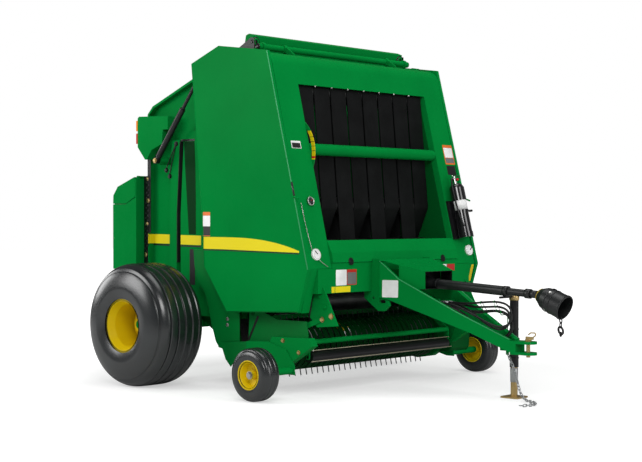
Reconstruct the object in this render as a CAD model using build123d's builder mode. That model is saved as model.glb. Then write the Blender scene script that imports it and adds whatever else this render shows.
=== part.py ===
"""Towed round baler, parked on its wheels, gauge wheels and jack.

Frame: +X towards the tractor, +Y to the left, +Z up, in millimetres, with the origin on the
ground under the middle of the whole machine. Heights are from the ground. Lengths along the
machine are given from the wheel axle, as axle_x + distance.
"""
from build123d import *
from math import atan2, cos, degrees, hypot, pi, radians, sin, tan
import os

os.makedirs("parts", exist_ok=True)

# ---------------------------------------------------------------- driving dimensions
axle_x = -1210.0            # wheel axle, behind the origin
running_gap = 0.05          # radial clearance of a shaft in its bore
seat_gap = 0.3              # clearance between pieces that rest against each other
moving_gap = 6.0            # clearance between pieces that move past each other

# bale chamber
chamber_half = 785.0        # inner face of each chamber wall, for a 1.57 m wide bale
wall_thick = 8.0
gate_wall_gap = 7.0         # between the chamber wall and the gate wall outside it

# sloping front face: a straight line from the knee up to the roof edge
face_foot_x = axle_x + 1626.0
face_foot_z = 992.0
face_top_x = axle_x + 1198.0
face_top_z = 2694.0
toe_x = axle_x + 1536.0     # bottom of the column below the knee
toe_z = 653.0
window_half = 792.0
window_low_z = 1207.0
window_high_z = 2437.0
column_depth = 60.0
column_outer = 1040.0
column_low_inner = 955.0    # the column is narrower below the knee
face_roll_r = 90.0          # rolled top edge of the face

# side shields
shield_outer = 1077.0
shield_thick = 32.0
shield_pivot_y = 1012.0
shield_pivot_z = 2700.0

# wheels
tyre_r = 505.0
tyre_width = 546.0
track_half = 1297.0
rim_flange_r = 221.0
rim_width = 470.0
spindle_r = 35.0
hub_r = 95.0
beam_size = 110.0           # square axle beam

# gauge wheels of the pickup
gauge_x = axle_x + 1391.0
gauge_r = 203.0
gauge_width = 165.0
gauge_half = 1390.0
gauge_rim_r = 112.0
gauge_axle_r = 12.7

# gate
gate_pivot_x = axle_x + 600.0
gate_pivot_z = 2300.0
gate_pin_r = 30.0
gate_hub_r = 60.0
gate_rear_x = axle_x - 490.0
gate_low_z = 760.0
gate_post_y = 860.0         # outer face of the gate's posts

# gate cylinders
cylinder_y = 970.0
cylinder_top = (axle_x + 360.0, 2620.0)     # pin on the top rail
cylinder_foot = (axle_x - 240.0, 1870.0)    # pin on the gate
barrel_r = 25.0
rod_r = 15.0
barrel_length = 540.0
neck_length = 24.0
rod_start = 430.0
eye_r = 28.0
eye_half = 18.0             # half width of the eyes
eye_pin_r = 12.0

# pickup
lift_x = axle_x + 900.0
lift_z = 620.0
lift_pin_r = 20.0
reel_x = axle_x + 1150.0
reel_z = 360.0
reel_tip_r = 240.0
reel_bar_ring_r = 128.0
reel_tube_r = 32.0
reel_stub_r = 20.0
tine_size = 6.0
tine_pitch = 66.0
tine_count = 26
tine_bars = 4
band_r = 190.0
band_gap = 16.0
band_thick = 4.0
pickup_plate_y = 930.0
pickup_plate_thick = 8.0
flare_y = 1000.0            # outer face of the drive housings at both ends

# wind guard
guard_pivot_x = axle_x + 1343.0
guard_pivot_z = 491.0
guard_roller_x = axle_x + 1447.0
guard_roller_z = 298.0
guard_roller_r = 44.0
guard_tube_x = axle_x + 1450.0
guard_tube_z = 415.0
guard_tube_r = 20.0
guard_half = 867.0          # half length of roller and tube

# tongue
tongue_root_x = axle_x + 1700.0
tongue_tip_x = axle_x + 2770.0
tongue_root_y = 330.0
tongue_tip_y = 40.0
tongue_thick = 40.0
hitch_x = axle_x + 2900.0   # hitch pin
hitch_low_z = 352.0
hitch_high_z = 434.0
hitch_plate = 20.0
hitch_pin_r = 15.0

# driveline
pto_pivot_x = axle_x + 1880.0
pto_z = 868.0
pto_tube_r = 37.5
pto_inner_r = 28.0
pto_tube_end = axle_x + 2720.0
pto_inner_end = axle_x + 2975.0
pto_tilt = 3.1              # degrees below level, towards the tractor
bell_droop = 22.0           # degrees of the cover over the last joint
stub_bore_r = 17.5          # for a 35 mm tractor shaft
stub_bore_length = 80.0

# jack
jack_x = axle_x + 2682.0
jack_tube_r = 34.0
jack_leg_r = 27.0
jack_collar_r = 42.0
crank_r = 9.0
jack_top_z = 790.0
jack_tube_low_z = 235.0
jack_foot = 160.0

# cross beam at the foot of the face
cross_low_z = 800.0
cross_rear_x = axle_x + 1500.0
cross_front_x = axle_x + 1630.0
sill_low_z = 1035.0

# hoses and their rack
hose_r = 8.5
rack_x = axle_x + 2056.0    # rear face of the rack plate between the tongue beams
rack_thick = 8.0

# safety chain
link_wire = 7.0
link_inner = 28.0
link_gap = 11.0             # clear width inside a link
link_pitch = 26.4

# extinguisher
bottle_r = 62.0
bottle_y = 895.0
bottle_foot_z = 1216.0

# belts and rollers
belt_count = 8
belt_pitch = 196.0
belt_width = 178.0
belt_thick = 7.0


# ---------------------------------------------------------------- small helpers
def side_plane(y):
    """Vertical plane at the given y, with local x forward and local y up, facing -Y."""
    return Plane.XZ.offset(-y)


def keep(piece, label):
    """Label a finished sub-part and write its STEP file."""
    piece.part.label = label
    export_step(piece.part, f"parts/{label}.step")


def face_x(z):
    """The front face's x at a height."""
    share = (z - face_foot_z) / (face_top_z - face_foot_z)
    return face_foot_x + share * (face_top_x - face_foot_x)


def flat_bar(a, b, width):
    """In a sketch, a flat bar with round ends from a to b."""
    with Locations(Location(((a[0] + b[0]) / 2, (a[1] + b[1]) / 2, 0),
                            (0, 0, degrees(atan2(b[1] - a[1], b[0] - a[0]))))):
        SlotCenterToCenter(hypot(b[0] - a[0], b[1] - a[1]), width)


# ---------------------------------------------------------------- chamber walls
gate_wall_y = chamber_half + wall_thick + gate_wall_gap
beam_top_z = tyre_r + beam_size / 2
with BuildPart() as chamber_walls:
    with BuildSketch(side_plane(-chamber_half)):
        Polygon(
            (axle_x - 60, beam_top_z), (axle_x - 100, 700), (axle_x - 100, 1400), (axle_x - 60, 2030),
            (axle_x + 330, 2300), (axle_x + 540, 2400), (axle_x + 735, 2620),
            (face_x(2620) - column_depth, 2620), (face_x(1040) - column_depth, 1040),
            (cross_rear_x - 1, 1036), (cross_rear_x - 1, cross_low_z - 2), (toe_x - column_depth, 665),
            (axle_x + 1060, 645), (axle_x + 960, 585), (axle_x + 740, 585), (axle_x + 600, 330),
            (axle_x + 430, 357), (axle_x + 70, beam_top_z), align=None)
    extrude(amount=wall_thick)
    # hub boss on which the gate turns
    with BuildSketch(side_plane(-chamber_half - wall_thick)):
        with Locations((gate_pivot_x, gate_pivot_z)):
            Circle(gate_pin_r)
    extrude(amount=gate_wall_gap + 36)
    # pivot pins of the pickup
    with BuildSketch(side_plane(-chamber_half - wall_thick)):
        with Locations((lift_x, lift_z)):
            Circle(lift_pin_r)
    extrude(amount=pickup_plate_y + pickup_plate_thick + 4 - chamber_half - wall_thick)
    mirror(about=Plane.XZ)
keep(chamber_walls, "chamber_walls")

# ---------------------------------------------------------------- side boxes beside the chamber
side_box_outer = 858.0
with BuildPart() as side_boxes:
    with BuildSketch(side_plane(-chamber_half - wall_thick)):
        Polygon((axle_x - 60, beam_top_z), (axle_x - 60, 1400), (axle_x - 20, 2025), (axle_x + 450, 2025),
                (axle_x + 450, 900), (axle_x + 700, 640), (axle_x + 700, beam_top_z), align=None)
    extrude(amount=side_box_outer - chamber_half - wall_thick)
    # cap rail over the recess
    with BuildSketch(side_plane(-gate_wall_y - wall_thick - 2)):
        Polygon((axle_x - 20, 2040), (axle_x + 60, 2115), (axle_x + 450, 2115), (axle_x + 450, 2025),
                (axle_x - 20, 2025), align=None)
    extrude(amount=side_box_outer - gate_wall_y - wall_thick - 2)
    mirror(about=Plane.XZ)
keep(side_boxes, "side_boxes")

# ---------------------------------------------------------------- front face
with BuildPart() as face_columns:
    with BuildSketch(side_plane(-window_half)):
        Polygon((face_foot_x, face_foot_z), (face_x(window_high_z), window_high_z),
                (face_x(window_high_z) - column_depth, window_high_z),
                (face_foot_x - column_depth, face_foot_z), align=None)
    extrude(amount=column_outer - window_half)
    with BuildSketch(side_plane(-column_low_inner)):
        Polygon((face_foot_x, face_foot_z), (face_foot_x - column_depth, face_foot_z),
                (toe_x - column_depth, toe_z), (toe_x, toe_z), align=None)
    extrude(amount=column_outer - column_low_inner)
    mirror(about=Plane.XZ)
keep(face_columns, "face_columns")

roll_start_z = 2590.0
top_sheet = 24.0
roll_x = face_x(roll_start_z) - face_roll_r
with BuildPart() as top_beam:
    with BuildSketch(side_plane(0)):
        with BuildLine():
            l1 = Line((face_x(window_high_z) - top_sheet, window_high_z),
                      (face_x(window_high_z), window_high_z))
            l2 = Line(l1 @ 1, (face_x(roll_start_z), roll_start_z))
            l3 = TangentArc(l2 @ 1, (roll_x, roll_start_z + face_roll_r), tangent=l2 % 1)
            l4 = Line(l3 @ 1, (axle_x + 1060, 2688))
            l5 = Line(l4 @ 1, (axle_x + 1060, 2688 - top_sheet))
            l6 = Line(l5 @ 1, (roll_x, roll_start_z + face_roll_r - top_sheet))
            l7 = Line(l6 @ 1, (face_x(roll_start_z) - top_sheet, roll_start_z))
            Line(l7 @ 1, l1 @ 0)
        make_face()
    extrude(amount=column_outer, both=True)
    with BuildSketch(Plane.YZ.offset(axle_x + 1000)):
        with Locations((0, 2688 - 400)):
            RectangleRounded(2 * column_outer, 800, 55)
    extrude(amount=700, mode=Mode.INTERSECT)
keep(top_beam, "top_beam")

with BuildPart() as sill_panel:
    with BuildSketch(side_plane(0)):
        Polygon((face_x(window_low_z) - column_depth, window_low_z), (face_x(window_low_z), window_low_z),
                (axle_x + 1622, 1112), (axle_x + 1638, sill_low_z),
                (axle_x + 1556, sill_low_z), (axle_x + 1540, 1112), align=None)
    extrude(amount=window_half - 1, both=True)
keep(sill_panel, "sill_panel")

# ---------------------------------------------------------------- cross beam, gussets, lug plates
lug_y = 330.0
with BuildPart() as cross_beam:
    with BuildSketch(side_plane(0)):
        Polygon((cross_rear_x, cross_low_z), (cross_front_x, cross_low_z),
                (cross_front_x, sill_low_z - 3), (cross_rear_x, sill_low_z - 3), align=None)
    extrude(amount=window_half - 1, both=True)
    with BuildSketch(side_plane(0)):
        Polygon((cross_rear_x, cross_low_z), (cross_front_x, cross_low_z),
                (cross_front_x, face_foot_z - 2), (cross_rear_x, face_foot_z - 2), align=None)
    extrude(amount=column_low_inner - seat_gap, both=True)
    # gusset under each end, with the strap that runs back beside the pickup
    with BuildSketch(side_plane(-895)):
        Polygon((axle_x + 1625, 860), (axle_x + 1650, 830), (axle_x + 1790, 560), (axle_x + 1574, 540),
                (axle_x + 1500, 615), (axle_x + 1540, 802), (axle_x + 1600, 860), align=None)
    extrude(amount=10)
    with BuildSketch(side_plane(-905)):
        flat_bar((axle_x + 1610, 600), (axle_x + 1400, 520), 40)
    extrude(amount=10)
    mirror(about=Plane.XZ)
keep(cross_beam, "cross_beam")

with BuildPart() as tongue_plates:
    with BuildSketch(side_plane(-lug_y + 12)):
        Polygon((cross_front_x, sill_low_z - 4), (axle_x + 1641, sill_low_z - 4), (axle_x + 1641, 1055), (axle_x + 1714, 1055), (axle_x + 1714, 745), (axle_x + 1800, 728),
                (axle_x + 1814, 690), (axle_x + 1760, 645), (axle_x + 1700, 645), (axle_x + 1554, 742),
                (axle_x + 1554, cross_low_z - 0.5), (cross_front_x, cross_low_z - 0.5), align=None)
        with Locations((axle_x + 1647, 745)):
            Circle(13, mode=Mode.SUBTRACT)
        with Locations((axle_x + 1741, 720)):
            SlotOverall(70, 26, mode=Mode.SUBTRACT)
    extrude(amount=12, both=True)
    mirror(about=Plane.XZ)
keep(tongue_plates, "tongue_plates")

# ---------------------------------------------------------------- tongue
tongue_angle = atan2(tongue_root_y - tongue_tip_y, tongue_tip_x - tongue_root_x)
tongue_run = hypot(tongue_root_y - tongue_tip_y, tongue_tip_x - tongue_root_x)
tongue_plane = Plane(origin=(tongue_root_x, -tongue_root_y, 0),
                     x_dir=(cos(tongue_angle), sin(tongue_angle), 0),
                     z_dir=(sin(tongue_angle), -cos(tongue_angle), 0))
with BuildPart() as tongue_beams:
    with BuildSketch(tongue_plane):
        Polygon((20, 1040), (185, 900), (675, 655), (tongue_run, 462), (tongue_run, 366),
                (790, 500), (100, 735), (20, 750), align=None)
    extrude(amount=tongue_thick / 2, both=True)
    mirror(about=Plane.XZ)
keep(tongue_beams, "tongue_beams")

head_half = 60.0
head_nose = 7.0             # straight part ahead of the pin
head_x = tongue_tip_x + tongue_thick / 2 * sin(tongue_angle) + seat_gap
beam_inner_y = tongue_tip_y - tongue_thick / 2 / cos(tongue_angle)
lug_x = axle_x + 2710.0
lug_hole_z = hitch_low_z
lug_hole_r = 6.0
with BuildPart() as hitch_head:
    for low in (hitch_low_z, hitch_high_z):
        with BuildSketch(Plane.XY.offset(low)):
            with BuildLine():
                a = Line((head_x, -head_half), (hitch_x + head_nose, -head_half))
                b = ThreePointArc(a @ 1, (hitch_x + head_nose + head_half, 0), (hitch_x + head_nose, head_half))
                c = Line(b @ 1, (head_x, head_half))
                Line(c @ 1, a @ 0)
            make_face()
            with Locations((hitch_x, 0)):
                Circle(hitch_pin_r + 0.5, mode=Mode.SUBTRACT)
        extrude(amount=hitch_plate)
    with BuildSketch(Plane.XY.offset(hitch_low_z)):
        with Locations((head_x + 25, 0)):
            Rectangle(50, 2 * head_half)
    extrude(amount=hitch_high_z + hitch_plate - hitch_low_z)
    # web that ties the two beams behind the head
    with BuildSketch(Plane.XY.offset(hitch_low_z + 20)):
        with Locations((head_x - 60, 0)):
            Rectangle(124, 2 * (beam_inner_y - seat_gap))
    extrude(amount=80)
    # lug for the safety chain
    with BuildSketch(side_plane(0)):
        with Locations((lug_x, hitch_low_z + 5)):
            Rectangle(24, 32)
        with Locations((lug_x, lug_hole_z)):
            Circle(lug_hole_r, mode=Mode.SUBTRACT)
    extrude(amount=4, both=True)
keep(hitch_head, "hitch_head")

pin_low_z = hitch_low_z - 18
pin_high_z = hitch_high_z + hitch_plate
with BuildPart() as hitch_pin:
    with BuildSketch(Plane.XY.offset(pin_low_z)):
        with Locations((hitch_x, 0)):
            Circle(hitch_pin_r)
    extrude(amount=pin_high_z - pin_low_z)
    with BuildSketch(Plane.XY.offset(pin_high_z)):
        with Locations((hitch_x, 0)):
            Circle(26)
    extrude(amount=14)
    with BuildSketch(Plane.XY.offset(pin_high_z + 14)):
        with Locations((hitch_x + 12, 0)):
            Rectangle(66, 14)
    extrude(amount=22)
keep(hitch_pin, "hitch_pin")

# ---------------------------------------------------------------- gearbox and its cover
with BuildPart() as gearbox:
    with BuildSketch(Plane.XY.offset(770)):
        with Locations((cross_front_x + 79 + seat_gap, 0)):
            Rectangle(158, 190)
    extrude(amount=200)
    with BuildSketch(Plane.YZ.offset(cross_front_x + 158)):
        with Locations((0, pto_z)):
            Circle(55)
    extrude(amount=40)
    with BuildSketch(Plane.YZ.offset(cross_front_x + 190)):
        with Locations((0, pto_z)):
            Circle(16)
    extrude(amount=pto_pivot_x - cross_front_x - 190)
    with BuildSketch(side_plane(0)):
        with Locations((pto_pivot_x, pto_z)):
            Circle(22)
    extrude(amount=20, both=True)
    with BuildSketch(side_plane(0)):
        with Locations((pto_pivot_x, pto_z)):
            Circle(10 + running_gap)
    extrude(amount=21, both=True, mode=Mode.SUBTRACT)
keep(gearbox, "gearbox")

cover_front_x = axle_x + 2050.0
cover_rear_x = axle_x + 1714.0 + seat_gap   # against the front edges of the lug plates
with BuildPart() as gearbox_cover:
    with BuildSketch(Plane.YZ.offset(cover_rear_x)):
        with Locations((0, 930)):
            Rectangle(680, 240)
    with BuildSketch(Plane.YZ.offset(cover_front_x)):
        with Locations((0, 893)):
            Rectangle(350, 140)
    loft()
    with BuildSketch(Plane.YZ.offset(cover_rear_x - 1)):
        with Locations((0, 925)):
            Rectangle(674, 236)
    with BuildSketch(Plane.YZ.offset(cover_front_x + 1)):
        with Locations((0, 889)):
            Rectangle(344, 142)
    loft(mode=Mode.SUBTRACT)
    # the tongue beams pass outside the cover
    for side in (-1, 1):
        with BuildSketch(Plane.XY.offset(700)):
            with Locations(Location(((tongue_root_x + tongue_tip_x) / 2,
                                     side * (tongue_root_y + tongue_tip_y) / 2, 0),
                                    (0, 0, -side * degrees(tongue_angle)))):
                Rectangle(tongue_run + 200, tongue_thick + 2 * seat_gap)
        extrude(amount=1040 + seat_gap - 700, mode=Mode.SUBTRACT)
keep(gearbox_cover, "gearbox_cover")

# ---------------------------------------------------------------- rails over the chamber
rail_inner = 890.0
rail_outer = 930.0
with BuildPart() as top_rails:
    with BuildSketch(side_plane(-rail_inner)):
        Polygon((axle_x + 330, 2585), (axle_x + 330, 2640), (axle_x + 420, 2680), (axle_x + 1058, 2680),
                (axle_x + 1058, 2620), (axle_x + 420, 2585), align=None)
    extrude(amount=rail_outer - rail_inner)
    # bracket to the chamber wall in front of the gate's hub
    with BuildSketch(side_plane(-chamber_half - wall_thick)):
        Polygon((axle_x + 900, 2560), (axle_x + 900, 2620), (axle_x + 1050, 2620), (axle_x + 1050, 2560),
                align=None)
    extrude(amount=rail_outer - chamber_half - wall_thick)
    # pin for the gate cylinder
    with BuildSketch(side_plane(-rail_outer)):
        with Locations(cylinder_top):
            Circle(eye_pin_r)
    extrude(amount=cylinder_y + eye_half + 6 - rail_outer)
    mirror(about=Plane.XZ)
keep(top_rails, "top_rails")

with BuildPart() as roof_bar:
    with BuildSketch(side_plane(0)):
        Polygon((axle_x + 800, 2770), (axle_x + 815, 2846), (axle_x + 850, 2858), (axle_x + 900, 2838),
                (axle_x + 885, 2760), align=None)
    extrude(amount=rail_outer, both=True)
    for side in (-1, 1):
        with BuildSketch(side_plane(side * (rail_inner + rail_outer) / 2)):
            Polygon((axle_x + 790, 2680), (axle_x + 800, 2772), (axle_x + 885, 2772), (axle_x + 920, 2680),
                    align=None)
        extrude(amount=15, both=True)
keep(roof_bar, "roof_bar")

tube_z = 2748.0
with BuildPart() as roof_tube:
    with BuildSketch(side_plane(rail_outer)):
        with Locations((axle_x + 953, tube_z)):
            Circle(26)
            Circle(18, mode=Mode.SUBTRACT)
    extrude(amount=2 * rail_outer)
    for y in (-880, -640, 640, 880):
        with BuildSketch(side_plane(y)):
            with Locations((axle_x + 953, tube_z)):
                Circle(36)
                Circle(26, mode=Mode.SUBTRACT)
        extrude(amount=15, both=True)
    for y in (-640, 640):
        with BuildSketch(side_plane(y)):
            Polygon((axle_x + 975, 2770), (axle_x + 975, 2720), (axle_x + 1075, 2687), (axle_x + 1075, 2700),
                    align=None)
        extrude(amount=8, both=True)
keep(roof_tube, "roof_tube")

# ---------------------------------------------------------------- rollers and belts
upper_roller = (axle_x + 1150, 2390, 80)
middle_roller = (axle_x + 1243, 1480, 70)       # every second belt turns back over it
lower_roller = (axle_x + 1265, 1130, 80)
lower_rear_roller = (axle_x + 1080, 1130, 80)
starter_roller = (axle_x + 1330, 880, 85)
floor_front_roller = (axle_x + 930, 700, 105)
floor_rear_roller = (axle_x + 300, 690, 105)
with BuildPart() as chamber_rollers:
    for x, z, r in (upper_roller, middle_roller, lower_roller, lower_rear_roller, starter_roller,
                    floor_front_roller, floor_rear_roller):
        with BuildSketch(side_plane(0)):
            with Locations((x, z)):
                Circle(r)
        extrude(amount=chamber_half, both=True)
keep(chamber_rollers, "chamber_rollers")


def belt_loop(rollers, grow, mode=Mode.ADD):
    """In a sketch, the outline drawn tight round rollers (x, z, radius), each radius grown.

    The rollers are listed front run first, from the top down.
    """
    corners = []
    for (ax, az, ar), (bx, bz, br) in zip(rollers, rollers[1:] + rollers[:1]):
        run = hypot(bx - ax, bz - az)
        dx, dz = (bx - ax) / run, (bz - az) / run
        slope = (ar - br) / run
        rise = (1 - slope ** 2) ** 0.5
        nx, nz = slope * dx - rise * dz, slope * dz + rise * dx
        corners += [(ax + nx * (ar + grow), az + nz * (ar + grow)), (bx + nx * (br + grow), bz + nz * (br + grow))]
    Polygon(*corners, align=None, mode=mode)
    for x, z, r in rollers:
        with Locations((x, z)):
            Circle(r + grow, mode=mode)


belt_places = [(i - (belt_count - 1) / 2) * belt_pitch for i in range(belt_count)]
with BuildPart() as front_belts:
    for i, y in enumerate(belt_places):
        path = (upper_roller, middle_roller, lower_rear_roller) if i % 2 else (upper_roller, lower_roller)
        with BuildSketch(side_plane(y)):
            belt_loop(path, seat_gap + belt_thick)
            belt_loop(path, seat_gap, Mode.SUBTRACT)
        extrude(amount=belt_width / 2, both=True)
keep(front_belts, "front_belts")

with BuildPart() as window_tube:
    with BuildSketch(side_plane(0)):
        with Locations((axle_x + 1350, 1922)):
            Circle(46)
    extrude(amount=chamber_half - seat_gap, both=True)
keep(window_tube, "window_tube")

# ---------------------------------------------------------------- axle
with BuildPart() as axle:
    with BuildSketch(side_plane(0)):
        with Locations((axle_x, tyre_r)):
            Rectangle(beam_size, beam_size)
    extrude(amount=1010, both=True)
    with BuildSketch(side_plane(0)):
        with Locations((axle_x, tyre_r)):
            Circle(spindle_r)
    extrude(amount=track_half + 70, both=True)
keep(axle, "axle")

# ---------------------------------------------------------------- road wheels
for side, name in ((-1, "right"), (1, "left")):
    wheel_plane = Plane(origin=(axle_x, side * track_half, tyre_r), x_dir=(1, 0, 0), z_dir=(0, 0, 1))
    half = tyre_width / 2
    with BuildPart() as tyre:
        with BuildSketch(wheel_plane):
            with BuildLine():
                tread_half = half - 55
                bead = rim_width / 2 - 12
                inner = rim_flange_r - 14
                a = Line((inner, -bead), (inner + 60, -bead - 8))
                b = ThreePointArc(a @ 1, (rim_flange_r + 165, -half), (tyre_r - 30, -tread_half))
                c = ThreePointArc(b @ 1, (tyre_r - 8, -tread_half + 30), (tyre_r - 3, -tread_half + 80))
                d = ThreePointArc(c @ 1, (tyre_r, 0), (tyre_r - 3, tread_half - 80))
                e = ThreePointArc(d @ 1, (tyre_r - 8, tread_half - 30), (tyre_r - 30, tread_half))
                f = ThreePointArc(e @ 1, (rim_flange_r + 165, half), (inner + 60, bead + 8))
                g = Line(f @ 1, (inner, bead))
                Line(g @ 1, a @ 0)
            make_face()
        revolve(axis=Axis((axle_x, side * track_half, tyre_r), (0, 1, 0)))
    keep(tyre, f"tyre_{name}")

    with BuildPart() as rim:
        seat = rim_flange_r - 14 - seat_gap
        edge = rim_width / 2
        well = seat - 8
        disc = -side * 40           # the disc stands nearer the inner edge
        with BuildSketch(wheel_plane):
            Polygon((seat, -edge + 10), (rim_flange_r, -edge + 10), (rim_flange_r, -edge), (well, -edge),
                    (well - 25, -edge + 60), (well - 25, edge - 60), (well, edge), (rim_flange_r, edge),
                    (rim_flange_r, edge - 10), (seat, edge - 10), (well - 17, edge - 66),
                    (well - 17, -edge + 66), align=None)
            # dished disc
            Polygon((hub_r - 10, disc + 30 * side), (hub_r - 10, disc + 42 * side),
                    (hub_r + 45, disc + 42 * side), (well - 22, disc - 38 * side),
                    (well - 22, disc - 52 * side), (hub_r + 45, disc + 30 * side), align=None)
            # hub with its bore
            Polygon((spindle_r + running_gap, disc - 40 * side), (hub_r - 8, disc - 40 * side), (hub_r, disc + 30 * side),
                    (hub_r, disc + 55 * side), (62, disc + 55 * side), (58, disc + 105 * side),
                    (spindle_r + running_gap, disc + 105 * side), align=None)
        revolve(axis=Axis((axle_x, side * track_half, tyre_r), (0, 1, 0)))
    keep(rim, f"rim_{name}")

# ---------------------------------------------------------------- gauge wheels
for side, name in ((-1, "right"), (1, "left")):
    wheel_plane = Plane(origin=(gauge_x, side * gauge_half, gauge_r), x_dir=(1, 0, 0), z_dir=(0, 0, 1))
    half = gauge_width / 2
    with BuildPart() as gauge_tyre:
        with BuildSketch(wheel_plane):
            with BuildLine():
                inner = gauge_rim_r - 10
                a = Line((inner, -half + 22), (inner + 16, -half + 10))
                b = ThreePointArc(a @ 1, (gauge_rim_r + 48, -half), (gauge_r - 14, -half + 22))
                c = ThreePointArc(b @ 1, (gauge_r, 0), (gauge_r - 14, half - 22))
                d = ThreePointArc(c @ 1, (gauge_rim_r + 48, half), (inner + 16, half - 10))
                e = Line(d @ 1, (inner, half - 22))
                Line(e @ 1, a @ 0)
            make_face()
        revolve(axis=Axis((gauge_x, side * gauge_half, gauge_r), (0, 1, 0)))
    keep(gauge_tyre, f"gauge_tyre_{name}")

    with BuildPart() as gauge_rim:
        seat = gauge_rim_r - 10 - seat_gap
        with BuildSketch(wheel_plane):
            Polygon((seat, -half + 20), (gauge_rim_r, -half + 6), (gauge_rim_r - 6, -half + 2),
                    (seat - 8, -half + 22), (seat - 20, -12), (34, -4), (34, -40), (gauge_axle_r + running_gap, -40),
                    (gauge_axle_r + running_gap, 40), (34, 40), (34, 4), (seat - 20, 12), (seat - 8, half - 22),
                    (gauge_rim_r - 6, half - 2), (gauge_rim_r, half - 6), (seat, half - 20), (seat - 12, 12),
                    (seat - 12, -12), align=None)
        revolve(axis=Axis((gauge_x, side * gauge_half, gauge_r), (0, 1, 0)))
    keep(gauge_rim, f"gauge_rim_{name}")

# ---------------------------------------------------------------- gate
gate_front_x = axle_x - 110.0
gate_outline = ((gate_rear_x, gate_low_z), (gate_rear_x, 2280), (axle_x - 423, 2347), (axle_x + 300, 2630),
                (gate_pivot_x + 20, gate_pivot_z + gate_hub_r - 4), (gate_pivot_x + 30, gate_pivot_z - 30),
                (axle_x + 200, 2155), (axle_x - 70, 2042), (gate_front_x, 1410), (gate_front_x, gate_low_z))
with BuildPart() as gate_walls:
    with BuildSketch(side_plane(-gate_wall_y)):
        Polygon(*gate_outline, align=None)
        with Locations((gate_pivot_x, gate_pivot_z)):
            Circle(gate_hub_r)
            Circle(gate_pin_r + running_gap, mode=Mode.SUBTRACT)
    extrude(amount=wall_thick)
    with BuildSketch(side_plane(-gate_wall_y - wall_thick)):
        with Locations((gate_pivot_x, gate_pivot_z)):
            Circle(gate_hub_r)
            Circle(gate_pin_r + running_gap, mode=Mode.SUBTRACT)
    extrude(amount=24)
    # front post and rear flange
    with BuildSketch(side_plane(-gate_wall_y - wall_thick)):
        Polygon((gate_front_x - 90, gate_low_z), (gate_front_x - 90, 1410), (gate_front_x - 60, 2040),
                (axle_x - 70, 2042), (gate_front_x, 1410), (gate_front_x, gate_low_z), align=None)
        Polygon((gate_rear_x, gate_low_z), (gate_rear_x, 2280), (axle_x - 423, 2347), (axle_x + 300, 2630),
                (axle_x + 305, 2610), (axle_x - 410, 2330), (gate_rear_x + 18, 2272),
                (gate_rear_x + 18, gate_low_z), align=None)
    extrude(amount=gate_post_y - gate_wall_y - wall_thick)
    # cylinder pin with its boss
    with BuildSketch(side_plane(-gate_wall_y - wall_thick)):
        with Locations(cylinder_foot):
            Circle(34)
    extrude(amount=cylinder_y - eye_half - moving_gap - gate_wall_y - wall_thick)
    mirror(about=Plane.XZ)
keep(gate_walls, "gate_walls")

with BuildPart() as gate_frame:
    # roof sheet between the walls, and cross members
    with BuildSketch(side_plane(0)):
        Polygon((axle_x - 423, 2347), (axle_x + 300, 2630), (axle_x + 302, 2624), (axle_x - 420, 2341),
                align=None)
        with Locations((axle_x - 420, 2290)):
            Rectangle(60, 60)
        with Locations((gate_rear_x + 45, gate_low_z + 25)):
            Rectangle(60, 50)
    extrude(amount=gate_wall_y, both=True)
keep(gate_frame, "gate_frame")

rear_upper = (axle_x - 385, 2170, 70)
rear_lower = (axle_x - 385, 900, 70)
with BuildPart() as gate_rollers:
    for x, z, r in (rear_upper, rear_lower):
        with BuildSketch(side_plane(0)):
            with Locations((x, z)):
                Circle(r)
        extrude(amount=gate_wall_y, both=True)
keep(gate_rollers, "gate_rollers")

with BuildPart() as rear_belts:
    for y in belt_places:
        with BuildSketch(side_plane(y)):
            belt_loop((rear_upper, rear_lower), seat_gap + belt_thick)
            belt_loop((rear_upper, rear_lower), seat_gap, Mode.SUBTRACT)
        extrude(amount=belt_width / 2, both=True)
keep(rear_belts, "rear_belts")

# lamp boxes on the gate's rear corners
lamp_inner = gate_post_y + seat_gap
lamp_outer = 932.0
with BuildPart() as lamp_boxes:
    with BuildSketch(side_plane(-lamp_inner)):
        Polygon((axle_x - 538, 1994), (axle_x - 538, 2245), (axle_x - 520, 2260), (axle_x - 140, 2246),
                (axle_x - 140, 2134), (axle_x - 205, 2134), (axle_x - 216, 2014), (axle_x - 351, 1966),
                (axle_x - 416, 1885), (axle_x - 440, 1885), align=None)
    extrude(amount=lamp_outer - lamp_inner)
    mirror(about=Plane.XZ)
keep(lamp_boxes, "lamp_boxes")

with BuildPart() as lamps:
    with BuildSketch(Plane.YZ.offset(axle_x - 538 - seat_gap)):
        with Locations((-(lamp_inner + lamp_outer) / 2 - 3, 2180)):
            Rectangle(60, 90)
        with Locations((-(lamp_inner + lamp_outer) / 2 - 3, 2070)):
            Rectangle(60, 90)
    extrude(amount=-24)
    mirror(about=Plane.XZ)
keep(lamps, "lamps")

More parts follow.
